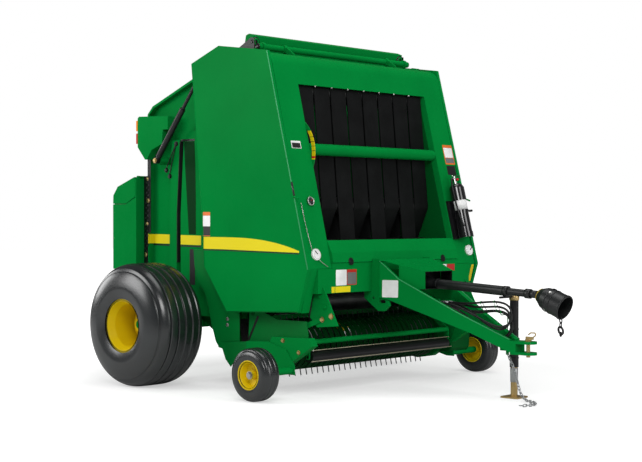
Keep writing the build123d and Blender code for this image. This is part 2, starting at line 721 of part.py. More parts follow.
# ---------------------------------------------------------------- net wrap box
net_half = 950.0
net_front_x = axle_x - 548.0
net_rear_x = axle_x - 856.0
net_low_z = 930.0
net_hinge_z = 1736.0
net_sheet = 8.0
net_plate_x = axle_x - 538.0
net_pin_x = axle_x - 545.0
with BuildPart() as net_box:
    with BuildSketch(side_plane(0)) as net_profile:
        with BuildLine() as net_line:
            Polyline((net_front_x, net_low_z), (net_rear_x, net_low_z), (net_rear_x, 1500),
                     (axle_x - 680, 1500), (net_front_x, 1560), close=True)
        make_face()
    extrude(amount=net_half, both=True)
    with BuildSketch(side_plane(0)):
        Polygon((net_front_x - net_sheet, net_low_z + net_sheet), (net_rear_x + net_sheet, net_low_z + net_sheet),
                (net_rear_x + net_sheet, 1700), (net_front_x - net_sheet, 1700), align=None)
    extrude(amount=net_half - net_sheet, both=True, mode=Mode.SUBTRACT)
    # front plate with the lid's hinge pin
    with BuildSketch(side_plane(0)):
        Polygon((net_front_x, net_low_z), (net_front_x, net_hinge_z - 14), (net_plate_x, net_hinge_z - 14),
                (net_plate_x, net_low_z), align=None)
    extrude(amount=net_half, both=True)
    with BuildSketch(side_plane(0)):
        with Locations((net_pin_x, net_hinge_z + 4)):
            Circle(6)
    extrude(amount=net_half - 20, both=True)
    for y in (-net_half + 30, 0, net_half - 30):
        with BuildSketch(side_plane(y)):
            flat_bar((net_pin_x, net_hinge_z + 4), (net_pin_x, net_hinge_z - 20), 2 * (net_plate_x - net_pin_x))
        extrude(amount=12, both=True)
    # arms that carry the box on the gate
    for side in (-1, 1):
        for z in (1010, 1420):
            with BuildSketch(side_plane(side * 836)):
                with Locations(((gate_rear_x + net_plate_x) / 2, z)):
                    Rectangle(gate_rear_x - net_plate_x, 60)
            extrude(amount=12, both=True)
keep(net_box, "net_box")

with BuildPart() as net_lid:
    lid_front_x = net_front_x - 6
    with BuildSketch(side_plane(0)):
        Polygon((lid_front_x, 1566), (lid_front_x, net_hinge_z - 26), (net_front_x - 16, net_hinge_z),
                (axle_x - 792, 1655), (axle_x - 853, 1579), (net_rear_x, 1506), (axle_x - 680, 1506), align=None)
    extrude(amount=net_half, both=True)
    with BuildSketch(side_plane(0)):
        Polygon((lid_front_x - net_sheet, 1500), (lid_front_x - net_sheet, net_hinge_z - 34),
                (net_front_x - 24, net_hinge_z - 9), (axle_x - 787, 1648), (axle_x - 845, 1576),
                (net_rear_x + net_sheet, 1500), align=None)
    extrude(amount=net_half - net_sheet, both=True, mode=Mode.SUBTRACT)
    # hinge knuckles
    for y in (-net_half / 2, net_half / 2):
        with BuildSketch(side_plane(y)):
            with Locations((net_pin_x, net_hinge_z + 4)):
                Circle(12)
            Polygon((net_pin_x, net_hinge_z + 14), (net_front_x - 22, net_hinge_z),
                    (net_front_x - 22, net_hinge_z - 8), (net_pin_x - 8, net_hinge_z - 2), align=None)
            with Locations((net_pin_x, net_hinge_z + 4)):
                Circle(6 + running_gap, mode=Mode.SUBTRACT)
        extrude(amount=120, both=True)
keep(net_lid, "net_lid")

# ---------------------------------------------------------------- gate cylinders
(top_x, top_z), (foot_x, foot_z) = cylinder_top, cylinder_foot
cylinder_angle = atan2(foot_z - top_z, foot_x - top_x)
cylinder_run = hypot(foot_z - top_z, foot_x - top_x)
for side, name in ((-1, "right"), (1, "left")):
    along = Vector(cos(cylinder_angle), 0, sin(cylinder_angle))
    from_top = Plane(origin=(top_x, side * cylinder_y, top_z), x_dir=(0, 1, 0), z_dir=along)
    from_foot = Plane(origin=(foot_x, side * cylinder_y, foot_z), x_dir=(0, 1, 0), z_dir=-along)
    with BuildPart() as rod:
        with BuildSketch(from_top.offset(20)):
            Circle(rod_r)
        extrude(amount=cylinder_run - rod_start - 20)
        with BuildSketch(side_plane(side * cylinder_y)):
            with Locations(cylinder_top):
                Circle(eye_r)
        extrude(amount=eye_half, both=True)
        with BuildSketch(side_plane(side * cylinder_y)):
            with Locations(cylinder_top):
                Circle(eye_pin_r + running_gap)
        extrude(amount=20, both=True, mode=Mode.SUBTRACT)
    keep(rod, f"rod_{name}")
    with BuildPart() as barrel:
        with BuildSketch(from_foot.offset(20)):
            Circle(eye_half - 1)
        extrude(amount=neck_length)
        with BuildSketch(from_foot.offset(20 + neck_length)):
            Circle(barrel_r)
        extrude(amount=barrel_length - 20 - neck_length)
        with BuildSketch(side_plane(side * cylinder_y)):
            with Locations(cylinder_foot):
                Circle(eye_r)
        extrude(amount=eye_half, both=True)
        with BuildSketch(side_plane(side * cylinder_y)):
            with Locations(cylinder_foot):
                Circle(eye_pin_r + running_gap)
        extrude(amount=20, both=True, mode=Mode.SUBTRACT)
        with BuildSketch(from_foot.offset(60)):
            Circle(rod_r + running_gap)
        extrude(amount=barrel_length, mode=Mode.SUBTRACT)
    keep(barrel, f"barrel_{name}")

# ---------------------------------------------------------------- side shields
shield_outline = ((axle_x + 1536, 660), (axle_x + 749, 628), (axle_x + 476, 991), (axle_x + 468, 1230),
                  (axle_x + 323, 2643), (axle_x + 650, 2764), (face_top_x, 2687), (face_foot_x + 12, 986))
for side, name in ((-1, "right"), (1, "left")):
    with BuildPart() as shield:
        with BuildSketch(side_plane(side * (shield_outer - shield_thick / 2))):
            Polygon(*shield_outline, align=None)
        extrude(amount=shield_thick / 2, both=True)
        # hinge tube on the inside
        with BuildSketch(Plane.YZ.offset(axle_x + 540)):
            with Locations((side * shield_pivot_y, shield_pivot_z)):
                Circle(16)
            with Locations((side * (shield_pivot_y + shield_outer - shield_thick) / 2, shield_pivot_z)):
                Rectangle(shield_outer - shield_thick - shield_pivot_y, 20)
            with Locations((side * shield_pivot_y, shield_pivot_z)):
                Circle(10 + running_gap, mode=Mode.SUBTRACT)
        extrude(amount=460)
    keep(shield, f"shield_{name}")

with BuildPart() as shield_pins:
    for side in (-1, 1):
        with BuildSketch(Plane.YZ.offset(axle_x + 520)):
            with Locations((side * shield_pivot_y, shield_pivot_z)):
                Circle(10)
        extrude(amount=500)
        for x in (axle_x + 520, axle_x + 1008):
            with BuildSketch(Plane.YZ.offset(x)):
                with Locations((side * (rail_outer + shield_pivot_y + 15) / 2, shield_pivot_z - 14)):
                    Rectangle(shield_pivot_y - rail_outer + 15, 58)
            extrude(amount=12)
keep(shield_pins, "shield_pins")

# ---------------------------------------------------------------- pickup
with BuildPart() as pickup_frame:
    for side in (-1, 1):
        inner = side * pickup_plate_y
        with BuildSketch(side_plane(side * (pickup_plate_y + pickup_plate_thick / 2))):
            Polygon((lift_x - 40, lift_z - 40), (lift_x - 40, lift_z + 30), (lift_x + 40, lift_z + 40),
                    (axle_x + 1174, 582), (axle_x + 1494, 582), (axle_x + 1508, 470), (axle_x + 1460, 340),
                    (axle_x + 1228, 164), (axle_x + 1080, 140), (axle_x + 860, 165), (axle_x + 850, 400),
                    align=None)
            with Locations((lift_x, lift_z)):
                Circle(lift_pin_r + running_gap, mode=Mode.SUBTRACT)
            with Locations((reel_x, reel_z)):
                Circle(reel_stub_r + running_gap, mode=Mode.SUBTRACT)
        extrude(amount=pickup_plate_thick / 2, both=True)
    # rear cross tube that joins both ends
    with BuildSketch(side_plane(0)):
        with Locations((lift_x - 35, 300)):
            Circle(30)
    extrude(amount=pickup_plate_y, both=True)
keep(pickup_frame, "pickup_frame")

with BuildPart() as flares:
    with BuildSketch(side_plane(-pickup_plate_y - pickup_plate_thick)):
        Polygon((axle_x + 1139, 378), (axle_x + 1178, 452), (axle_x + 1580, 460), (axle_x + 1613, 400),
                (axle_x + 1228, 164), (axle_x + 1150, 200), align=None)
    extrude(amount=flare_y - pickup_plate_y - pickup_plate_thick)
    # wheel arm: a plate over the gauge wheel and a stub axle
    with BuildSketch(side_plane(-flare_y)):
        Polygon((axle_x + 900, 400), (axle_x + 1151, 412), (axle_x + 1340, 362), (axle_x + 1430, 240),
                (axle_x + 1430, 170), (axle_x + 1350, 170), (axle_x + 1228, 200), (axle_x + 1050, 240),
                (axle_x + 900, 330), align=None)
    extrude(amount=10)
    with BuildSketch(side_plane(-flare_y)):
        with Locations((gauge_x, gauge_r)):
            Circle(28)
    extrude(amount=gauge_half - 42 - flare_y)
    with BuildSketch(side_plane(-flare_y)):
        with Locations((gauge_x, gauge_r)):
            Circle(gauge_axle_r)
    extrude(amount=gauge_half + 60 - flare_y)
    mirror(about=Plane.XZ)
keep(flares, "flares")

band_width = tine_pitch - band_gap
with BuildPart() as stripper_bands:
    outer = band_r
    inner = band_r - band_thick
    for i in range(tine_count + 1):
        y = (i - tine_count / 2) * tine_pitch
        with BuildSketch(side_plane(y)):
            with BuildLine():
                a = Line((lift_x - 40, reel_z + outer), (reel_x, reel_z + outer))
                b = ThreePointArc(a @ 1, (reel_x + outer, reel_z), (reel_x, reel_z - outer))
                c = Line(b @ 1, (lift_x - 20, reel_z - outer))
                d = Line(c @ 1, (lift_x - 20, reel_z - inner))
                e = Line(d @ 1, (reel_x, reel_z - inner))
                f = ThreePointArc(e @ 1, (reel_x + inner, reel_z), (reel_x, reel_z + inner))
                g = Line(f @ 1, (lift_x - 40, reel_z + inner))
                Line(g @ 1, a @ 0)
            make_face()
        extrude(amount=band_width / 2, both=True)
    # the angles that carry the bands
    with BuildSketch(side_plane(0)):
        Polygon((lift_x - 40, reel_z + inner - 36), (lift_x - 40, reel_z + outer), (lift_x - 10, reel_z + outer),
                (lift_x - 10, reel_z + inner), (lift_x - 34, reel_z + inner), (lift_x - 34, reel_z + inner - 36),
                align=None)
        Polygon((lift_x - 20, reel_z - outer), (lift_x + 10, reel_z - outer), (lift_x + 10, reel_z - inner),
                (lift_x - 14, reel_z - inner), (lift_x - 14, reel_z - inner + 40), (lift_x - 20, reel_z - inner + 40),
                align=None)
    extrude(amount=pickup_plate_y - seat_gap, both=True)
keep(stripper_bands, "stripper_bands")

with BuildPart() as reel:
    with BuildSketch(side_plane(0)):
        with Locations((reel_x, reel_z)):
            Circle(reel_tube_r)
    extrude(amount=pickup_plate_y - 6, both=True)
    with BuildSketch(side_plane(0)):
        with Locations((reel_x, reel_z)):
            Circle(reel_stub_r)
    extrude(amount=pickup_plate_y + pickup_plate_thick - 1, both=True)
    for y in (-900, -300, 300, 900):
        with BuildSketch(side_plane(y)):
            with Locations((reel_x, reel_z)):
                Circle(reel_bar_ring_r + 16)
        extrude(amount=3, both=True)
    for k in range(tine_bars):
        turn = -90 + 360 * k / tine_bars + 12
        bar = (reel_x + reel_bar_ring_r * cos(radians(turn)), reel_z + reel_bar_ring_r * sin(radians(turn)))
        with BuildSketch(side_plane(0)):
            with Locations(Location((*bar, 0), (0, 0, turn))):
                Rectangle(20, 20)
        extrude(amount=900, both=True)
        for i in range(tine_count):
            y = (i - (tine_count - 1) / 2) * tine_pitch
            middle = (reel_bar_ring_r + reel_tip_r) / 2
            with BuildSketch(side_plane(y)):
                with Locations(Location((reel_x + middle * cos(radians(turn)),
                                         reel_z + middle * sin(radians(turn)), 0), (0, 0, turn))):
                    Rectangle(reel_tip_r - reel_bar_ring_r, tine_size)
            extrude(amount=tine_size / 2, both=True)
keep(reel, "reel")

# ---------------------------------------------------------------- wind guard
arm_y = guard_half + 1
with BuildPart() as wind_guard:
    with BuildSketch(side_plane(0)):
        with Locations((guard_tube_x, guard_tube_z)):
            Circle(guard_tube_r)
    extrude(amount=arm_y, both=True)
    for side in (-1, 1):
        with BuildSketch(side_plane(side * (arm_y + 5))):
            flat_bar((guard_pivot_x, guard_pivot_z), (guard_tube_x, guard_tube_z), 40)
            flat_bar((guard_tube_x, guard_tube_z), (guard_roller_x, guard_roller_z), 40)
            with Locations((guard_roller_x, guard_roller_z)):
                Circle(12 + running_gap, mode=Mode.SUBTRACT)
        extrude(amount=5, both=True)
        with BuildSketch(side_plane(side * (arm_y + 10))):
            with Locations((guard_pivot_x, guard_pivot_z)):
                Circle(10)
        extrude(amount=-side * (pickup_plate_y - arm_y - 10 - seat_gap))
keep(wind_guard, "wind_guard")

with BuildPart() as wind_roller:
    with BuildSketch(side_plane(0)):
        with Locations((guard_roller_x, guard_roller_z)):
            Circle(guard_roller_r)
    extrude(amount=guard_half - 6, both=True)
    with BuildSketch(side_plane(0)):
        with Locations((guard_roller_x, guard_roller_z)):
            Circle(12)
    extrude(amount=arm_y + 9, both=True)
keep(wind_roller, "wind_roller")

# ---------------------------------------------------------------- jack
jack_share = (jack_x - tongue_root_x) / (tongue_tip_x - tongue_root_x)
beam_outer_y = (tongue_root_y + jack_share * (tongue_tip_y - tongue_root_y)
                + tongue_thick / 2 / cos(tongue_angle))
jack_y = beam_outer_y + jack_collar_r / cos(tongue_angle) + seat_gap
rest_z = pto_z - (jack_x - pto_pivot_x) * tan(radians(pto_tilt)) - pto_tube_r / cos(radians(pto_tilt))
with BuildPart() as jack_tube:
    with BuildSketch(Plane.XY.offset(jack_tube_low_z)):
        with Locations((jack_x, jack_y)):
            Circle(jack_tube_r)
    extrude(amount=jack_top_z - jack_tube_low_z)
    # collar against the tongue beam
    with BuildSketch(Plane.XY.offset(390)):
        with Locations((jack_x, jack_y)):
            Circle(jack_collar_r)
    extrude(amount=70)
    # folded crank, on which the parked driveline rests
    with BuildSketch(Plane.XZ.offset(-jack_y)):
        with Locations((jack_x, rest_z - crank_r - seat_gap)):
            Circle(crank_r)
    extrude(amount=jack_y + 60)
    with BuildSketch(Plane.XY.offset(jack_tube_low_z)):
        with Locations((jack_x, jack_y)):
            Circle(jack_leg_r + running_gap)
    extrude(amount=jack_top_z - jack_tube_low_z - 40, mode=Mode.SUBTRACT)
keep(jack_tube, "jack_tube")

with BuildPart() as jack_leg:
    with BuildSketch(Plane.XY.offset(12)):
        with Locations((jack_x, jack_y)):
            Circle(jack_leg_r)
    extrude(amount=420)
    with BuildSketch(Plane.XY):
        with Locations((jack_x, jack_y)):
            RectangleRounded(jack_foot, jack_foot, 18)
    extrude(amount=12)
keep(jack_leg, "jack_leg")

# ---------------------------------------------------------------- driveline
slope = radians(-pto_tilt)
pto_dir = Vector(cos(slope), 0, sin(slope))
pto_plane = Plane(origin=(pto_pivot_x, 0, pto_z), x_dir=(0, 1, 0), z_dir=pto_dir)
tube_run = (pto_tube_end - pto_pivot_x) / cos(slope)
inner_run = (pto_inner_end - pto_pivot_x) / cos(slope)
pto_ear = 12.0              # thickness of the yoke ears
pto_boss = 20.0             # half width of the boss between them
pto_joint_r = 22.0
cross_r = 10.0
with BuildPart() as pto_tube:
    with BuildSketch(pto_plane.offset(34)):
        Circle(60)
    with BuildSketch(pto_plane.offset(130)):
        Circle(pto_tube_r)
    loft()
    with BuildSketch(pto_plane.offset(128)):
        Circle(pto_tube_r)
    extrude(amount=tube_run - 128)
    with BuildSketch(pto_plane.offset(300)):
        Circle(pto_inner_r + running_gap)
    extrude(amount=tube_run, mode=Mode.SUBTRACT)
    # yoke ears and cross pin of the first joint
    for side in (-1, 1):
        with BuildSketch(side_plane(side * (pto_boss + seat_gap + pto_ear / 2))):
            flat_bar((pto_pivot_x, pto_z),
                     (pto_pivot_x + 40 * cos(slope), pto_z + 40 * sin(slope)), 2 * pto_joint_r)
        extrude(amount=pto_ear / 2, both=True)
    with BuildSketch(side_plane(0)):
        with Locations((pto_pivot_x, pto_z)):
            Circle(cross_r)
    extrude(amount=pto_boss + seat_gap + pto_ear, both=True)
keep(pto_tube, "pto_tube")

joint_run = inner_run + 30
joint_x = pto_pivot_x + joint_run * cos(slope)
joint_z = pto_z + joint_run * sin(slope)
print(f"last driveline joint at x {joint_x:.2f} z {joint_z:.2f}")
with BuildPart() as pto_shaft:
    with BuildSketch(pto_plane.offset(500)):
        Circle(pto_inner_r)
    extrude(amount=inner_run - 40 - 500)
    with BuildSketch(pto_plane.offset(inner_run - 41)):
        Circle(16)
    extrude(amount=joint_run - inner_run + 41)
    with BuildSketch(side_plane(0)):
        with Locations((joint_x, joint_z)):
            Circle(pto_joint_r)
    extrude(amount=pto_boss, both=True)
    with BuildSketch(side_plane(0)):
        with Locations((joint_x, joint_z)):
            Circle(cross_r + running_gap)
    extrude(amount=pto_boss + 1, both=True, mode=Mode.SUBTRACT)
keep(pto_shaft, "pto_shaft")

bell_angle = radians(-bell_droop)
bell_plane = Plane(origin=(joint_x, 0, joint_z), x_dir=(0, 1, 0), z_dir=(cos(bell_angle), 0, sin(bell_angle)))
bell_profile = Plane(origin=(joint_x, 0, joint_z), x_dir=(0, 1, 0), z_dir=(-sin(bell_angle), 0, cos(bell_angle)))
with BuildPart() as pto_bell:
    # in the profile plane x is the radius and y runs back along the cover's axis
    with BuildSketch(bell_profile):
        Polygon((46, 8), (80, -50), (90, -90), (94, -236), (88, -236), (84, -92), (73, -62), (20, -62),
                (20, -50), (68, -50), (40, 8), align=None)
    revolve(axis=Axis((joint_x, 0, joint_z), (cos(bell_angle), 0, sin(bell_angle))))
    for side in (-1, 1):
        with BuildSketch(side_plane(side * (pto_boss + seat_gap + pto_ear / 2))):
            flat_bar((joint_x, joint_z),
                     (joint_x + 50 * cos(bell_angle), joint_z + 50 * sin(bell_angle)), 2 * pto_joint_r)
        extrude(amount=pto_ear / 2, both=True)
    with BuildSketch(side_plane(0)):
        with Locations((joint_x, joint_z)):
            Circle(cross_r)
    extrude(amount=pto_boss + seat_gap + pto_ear, both=True)
    # splined yoke for the tractor's shaft
    with BuildSketch(bell_plane.offset(62)):
        Circle(32)
    extrude(amount=stub_bore_length + 20)
    with BuildSketch(bell_plane.offset(82)):
        Circle(stub_bore_r)
    extrude(amount=stub_bore_length, mode=Mode.SUBTRACT)
keep(pto_bell, "pto_bell")

# ---------------------------------------------------------------- extinguisher on the left column
lean = atan2(face_foot_x - face_top_x, face_top_z - face_foot_z)
bracket_thick = 10.0
bottle_stand = bottle_r + bracket_thick + seat_gap      # bottle's axis to the column's face
bottle_plane = Plane(origin=(face_x(bottle_foot_z) + bottle_stand / cos(lean), bottle_y, bottle_foot_z),
                     x_dir=(0, 1, 0), z_dir=(-sin(lean), 0, cos(lean)))
with BuildPart() as extinguisher:
    with BuildSketch(bottle_plane):
        Circle(bottle_r)
    extrude(amount=470)
    fillet(extinguisher.edges().filter_by(GeomType.CIRCLE).group_by(Axis.Z)[-1], 38)
    with BuildSketch(bottle_plane.offset(465)):
        Circle(18)
    extrude(amount=55)
    # carrying handle and lever
    with BuildSketch(bottle_plane.offset(515)):
        with Locations((20, 0)):
            SlotOverall(110, 24)
    extrude(amount=8)
    with BuildSketch(bottle_plane.offset(540)):
        with Locations((25, 0)):
            SlotOverall(120, 20)
    extrude(amount=6)
    with BuildSketch(bottle_plane.offset(520)):
        Circle(12)
    extrude(amount=22)
    # base cup, strap and bracket on the column's face
    for start, height in ((-6, 46), (215, 18)):
        with BuildSketch(bottle_plane.offset(start)):
            Circle(bottle_r + 4)
        extrude(amount=height)
    with BuildSketch(bottle_plane.offset(-6)):
        with Locations((-18, bottle_r + bracket_thick / 2 - 3)):
            Rectangle(150, bracket_thick + 6)
    extrude(amount=340)
keep(extinguisher, "extinguisher")

# ---------------------------------------------------------------- bale size scale and dials on the face
scale_y = -window_half + seat_gap
scale_width = 32.0
with BuildPart() as size_indicator:
    with BuildSketch(side_plane(scale_y)):
        with BuildLine():
            a = ThreePointArc((axle_x + 1318, 2150), (axle_x + 1438, 1958), (axle_x + 1412, 1750))
            b = Line(a @ 1, a @ 1 - Vector(scale_width, 0))
            c = ThreePointArc(b @ 1, (axle_x + 1438 - scale_width, 1958), (axle_x + 1318 - scale_width, 2150))
            Line(c @ 1, a @ 0)
        make_face()
    extrude(amount=-6)
keep(size_indicator, "size_indicator")

dial_z = 1100.0
dial_r = 45.0
dial_places = (-950.0, 985.0)
with BuildPart() as dials:
    for y in dial_places:
        dial_plane = Plane(origin=(face_x(dial_z) + seat_gap, y, dial_z), x_dir=(0, 1, 0),
                           z_dir=(cos(lean), 0, sin(lean)))
        with BuildSketch(dial_plane):
            Circle(dial_r)
        extrude(amount=14)
        with BuildSketch(dial_plane.offset(14)):
            Circle(dial_r - 10)
        extrude(amount=8)
keep(dials, "dials")


# ---------------------------------------------------------------- hose rack
def beam_gap(x):
    """Half the clear width between the tongue beams at a place along them."""
    share = (x - tongue_root_x) / (tongue_tip_x - tongue_root_x)
    return tongue_root_y + share * (tongue_tip_y - tongue_root_y) - tongue_thick / 2 / cos(tongue_angle)


rack_front = rack_x + rack_thick
# y, z, radius and length of each fitting on the rack
hose_exits = ((-60, 685, 13, 40), (-20, 685, 13, 40))
hose_parks = ((20, 681, 15, 91), (58, 672, 15, 91))
hook_x = axle_x + 2665.0
hook_y = 66.0
hook_foot_z = 512.2
hook_z = 642.0
with BuildPart() as hose_rack:
    with BuildSketch(Plane.YZ.offset(rack_x)):
        with Locations((0, 688)):
            Rectangle(2 * (beam_gap(rack_front) - seat_gap), 76)
    extrude(amount=rack_thick)
    for y, z, r, length in hose_exits + hose_parks:
        with BuildSketch(Plane.YZ.offset(rack_front)):
            with Locations((y, z)):
                Circle(r)
        extrude(amount=length)
    # bent rod on the left beam, on which both hoses lie
    with BuildLine() as hook_line:
        FilletPolyline((hook_x, hook_y, hook_foot_z), (hook_x, hook_y, hook_z), (hook_x, -24, hook_z),
                       (hook_x, -24, hook_z + 32), radius=12)
    with BuildSketch(Plane(origin=(hook_x, hook_y, hook_foot_z), z_dir=(0, 0, 1))):
        Circle(4)
    sweep(path=hook_line.wire())
keep(hose_rack, "hose_rack")

# ---------------------------------------------------------------- hoses
exit_x = rack_front + 40
park_x = rack_front + 91
# points of each hose's route: x, y, z
hose_routes = {
    "hose_1": ((exit_x, -60, 685), (axle_x + 2200, -60, 685), (axle_x + 2316, -50, 641),
               (axle_x + 2420, -38, 585), (axle_x + 2522, -26, 520), (axle_x + 2632, -14, 465),
               (axle_x + 2712, -12, 467), (axle_x + 2765, -12, 527), (axle_x + 2761, -10, 607),
               (axle_x + 2702, -7, 663), (axle_x + 2602, 0, 674), (axle_x + 2483, 8, 662),
               (axle_x + 2353, 14, 652), (axle_x + 2245, 20, 681), (park_x, 20, 681)),
    "hose_2": ((exit_x, -20, 685), (axle_x + 2196, -20, 685), (axle_x + 2306, -14, 634),
               (axle_x + 2402, -6, 574), (axle_x + 2500, 2, 516), (axle_x + 2598, 12, 469),
               (axle_x + 2674, 13, 467), (axle_x + 2732, 13, 521), (axle_x + 2735, 14, 599),
               (axle_x + 2681, 18, 655), (axle_x + 2582, 26, 668), (axle_x + 2464, 34, 650),
               (axle_x + 2340, 44, 640), (axle_x + 2233, 58, 672), (park_x, 58, 672)),
}
for name, route in hose_routes.items():
    points = [Vector(*p) for p in route]
    with BuildPart() as hose:
        with BuildLine() as hose_line:
            end = points[0]
            tightest = 1e9
            for before, corner, after in zip(points, points[1:], points[2:]):
                come, go = corner - before, after - corner
                turn = radians(come.get_angle(go))
                reach = 0.45 * min(come.length, go.length)
                radius = reach / tan(turn / 2)
                tightest = min(tightest, radius)
                start_arc = corner - come.normalized() * reach
                end_arc = corner + go.normalized() * reach
                inward = (go.normalized() - come.normalized()).normalized()
                middle = corner + inward * radius * (1 / cos(turn / 2) - 1)
                Line(end, start_arc)
                ThreePointArc(start_arc, middle, end_arc)
                end = end_arc
            Line(end, points[-1])
        with BuildSketch(Plane(origin=points[0], z_dir=(1, 0, 0))):
            Circle(hose_r)
        sweep(path=hose_line.wire())
    length = hose_line.wire().length
    print(f"{name} length {length:.0f} tightest radius {tightest:.0f}"
          f" volume share {hose.part.volume / (pi * hose_r ** 2 * length):.4f}")
    keep(hose, name)

# ---------------------------------------------------------------- safety chain
# route of the chain from the lug down to the floor and along it: x from the axle, y, z
floor_z = link_wire + link_gap / 2 + 0.6
chain_route = ((2712, 0, lug_hole_z - 2), (2740, 0, 297), (2766, 0, 245), (2788, -1, 187), (2808, -4, 130),
               (2830, -11, 80), (2864, -24, 38), (2912, -42, floor_z + 3), (2966, -62, floor_z),
               (3018, -92, floor_z), (3058, -138, floor_z), (3075, -196, floor_z), (3064, -256, floor_z),
               (3026, -305, floor_z))
end_r = (link_gap + link_wire) / 2
link_half = (link_inner + link_wire) / 2 - end_r
with BuildPart() as link:
    with BuildLine() as link_line:
        Polyline(*[(link_half + end_r * cos(radians(a)), end_r * sin(radians(a))) for a in (-90, -45, 0, 45, 90)],
                 *[(-link_half - end_r * cos(radians(a)), end_r * sin(radians(a))) for a in (90, 45, 0, -45, -90)],
                 close=True)
    with BuildSketch(Plane(origin=(0, -end_r, 0), x_dir=(0, 1, 0), z_dir=(1, 0, 0))):
        RegularPolygon(link_wire / 2, 6)
    sweep(path=link_line.wire(), transition=Transition.RIGHT)
chain_spline = Spline(*[(axle_x + x, y, z) for x, y, z in chain_route])
link_count = int(chain_spline.length / link_pitch)
with BuildPart() as safety_chain:
    for i in range(link_count):
        tail = chain_spline.position_at(i * link_pitch, position_mode=PositionMode.LENGTH)
        head = chain_spline.position_at((i + 1) * link_pitch, position_mode=PositionMode.LENGTH)
        along = (head - tail).normalized()
        across = Vector(0, 0, 1).cross(along).normalized()
        if i % 2:
            across = along.cross(across)
        with Locations(Plane(origin=(tail + head) / 2, x_dir=along, z_dir=along.cross(across)).location):
            add(link.part)
keep(safety_chain, "safety_chain")
print("links", link_count, "solids", len(safety_chain.part.solids()))
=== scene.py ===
# %% [markdown]
# # Dressing a round baler
# The frame holds every solid of the machine already: walls, rollers, wheels, tongue and joints.
# What is left for Blender is what the eye meets: glossy farm paint, ribbed rubber, worn belts,
# bolts, stripes, hoses and lamps. Each step below takes one piece or finish, says what it is on a
# real machine, and makes it as a surface worked out on a grid.

# %% Load the frame
import math

import bmesh
import bpy
import numpy as np
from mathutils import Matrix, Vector


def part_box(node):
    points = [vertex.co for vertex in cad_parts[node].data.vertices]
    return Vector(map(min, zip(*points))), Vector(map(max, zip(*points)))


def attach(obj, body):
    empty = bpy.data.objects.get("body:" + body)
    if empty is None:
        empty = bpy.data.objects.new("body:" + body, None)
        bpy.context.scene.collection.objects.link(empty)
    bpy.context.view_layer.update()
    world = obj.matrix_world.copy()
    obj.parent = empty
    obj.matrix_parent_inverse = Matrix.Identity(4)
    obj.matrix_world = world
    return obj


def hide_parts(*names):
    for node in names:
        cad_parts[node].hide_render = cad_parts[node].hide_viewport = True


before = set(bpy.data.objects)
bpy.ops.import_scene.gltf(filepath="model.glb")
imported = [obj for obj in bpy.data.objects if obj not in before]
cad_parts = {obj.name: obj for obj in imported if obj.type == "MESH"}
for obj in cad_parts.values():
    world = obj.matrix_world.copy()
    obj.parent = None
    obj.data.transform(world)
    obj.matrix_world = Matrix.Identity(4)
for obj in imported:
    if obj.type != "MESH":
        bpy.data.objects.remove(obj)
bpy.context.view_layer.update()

# %% [markdown]
# ## Where places are measured from
# Every place on the machine is (x, y, z) in metres: x forward from the wheels' axle, y to the left
# from the machine's middle, z up from the ground. The axle's own place is added when a mesh is
# made. Only the camera, the lamps and the coloured bands of a finish use the frame's own x.

# %% Directions and sides
X, Y, Z = np.eye(3)
SIDES = (("right", -1), ("left", 1))    # each side's name and its sign along y
AXLE = X * (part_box("rim_right")[0].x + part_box("rim_right")[1].x) / 2


def box_of(node):
    """The low and the high corner of a frame solid, from the axle."""
    return [np.array(corner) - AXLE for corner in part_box(node)]


def finish_of(name):
    """The material that a later step gives each finish, found by name."""
    return bpy.data.materials.get(name) or bpy.data.materials.new(name)


# %% [markdown]
# ## The camera
# The portrait is taken from the right front with a long lens, low and level, so uprights stay
# upright. A camera looks along its own -Z, so its turn comes from the direction that it looks in.

# %% Camera
yaw, pitch = math.radians(132.938), math.radians(-0.587)
look = Vector((math.cos(yaw) * math.cos(pitch), math.sin(yaw) * math.cos(pitch), math.sin(pitch)))
camera_data = bpy.data.cameras.new("portrait_lens")
camera_data.sensor_width = 36.0
camera_data.lens = 77.7140187       # both in millimetres
camera_data.clip_end = 200.0
camera = bpy.data.objects.new("portrait_camera", camera_data)
camera.location = (7.636, -8.676, 1.390)
camera.rotation_euler = look.to_track_quat("-Z", "Y").to_euler()
bpy.context.scene.collection.objects.link(camera)
bpy.context.scene.camera = camera
bpy.context.scene.view_settings.view_transform = "Standard"

# %% [markdown]
# ## The four hoses
# Four hydraulic hoses leave a rack between the tongue beams, sag, turn round behind the hitch
# and come back to be parked in the rack. Two of them stand in for the frame's own, the two above
# are added. A hose is one bevelled curve: a spline whose control points are the route, so it
# bends as smoothly as thick rubber does.

# %% Hoses
HOSE_START = np.array([-1.21, 0.0, 0.0])    # the routes' own origin, at the axle
HOSE_RADIUS = 0.0085


def hose(name, node, route):
    """A hose along a route, in metres, as one open spline; it replaces the frame's node, if given."""
    line = bpy.data.curves.new(name, "CURVE")
    line.dimensions = "3D"
    line.bevel_depth = HOSE_RADIUS
    line.bevel_resolution = 4
    line.resolution_u = 10
    line.use_fill_caps = True
    spline = line.splines.new("NURBS")
    spline.points.add(len(route) - 1)
    points = np.asarray(route, dtype=float) + HOSE_START
    spline.points.foreach_set("co", np.c_[points, np.ones(len(points))].ravel())
    spline.order_u = 3
    spline.use_endpoint_u = True
    piece = bpy.data.objects.new(name, line)
    bpy.context.scene.collection.objects.link(piece)
    line.materials.append(finish_of("hose_rubber"))
    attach(piece, "main")
    if node:
        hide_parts(node)
    return piece


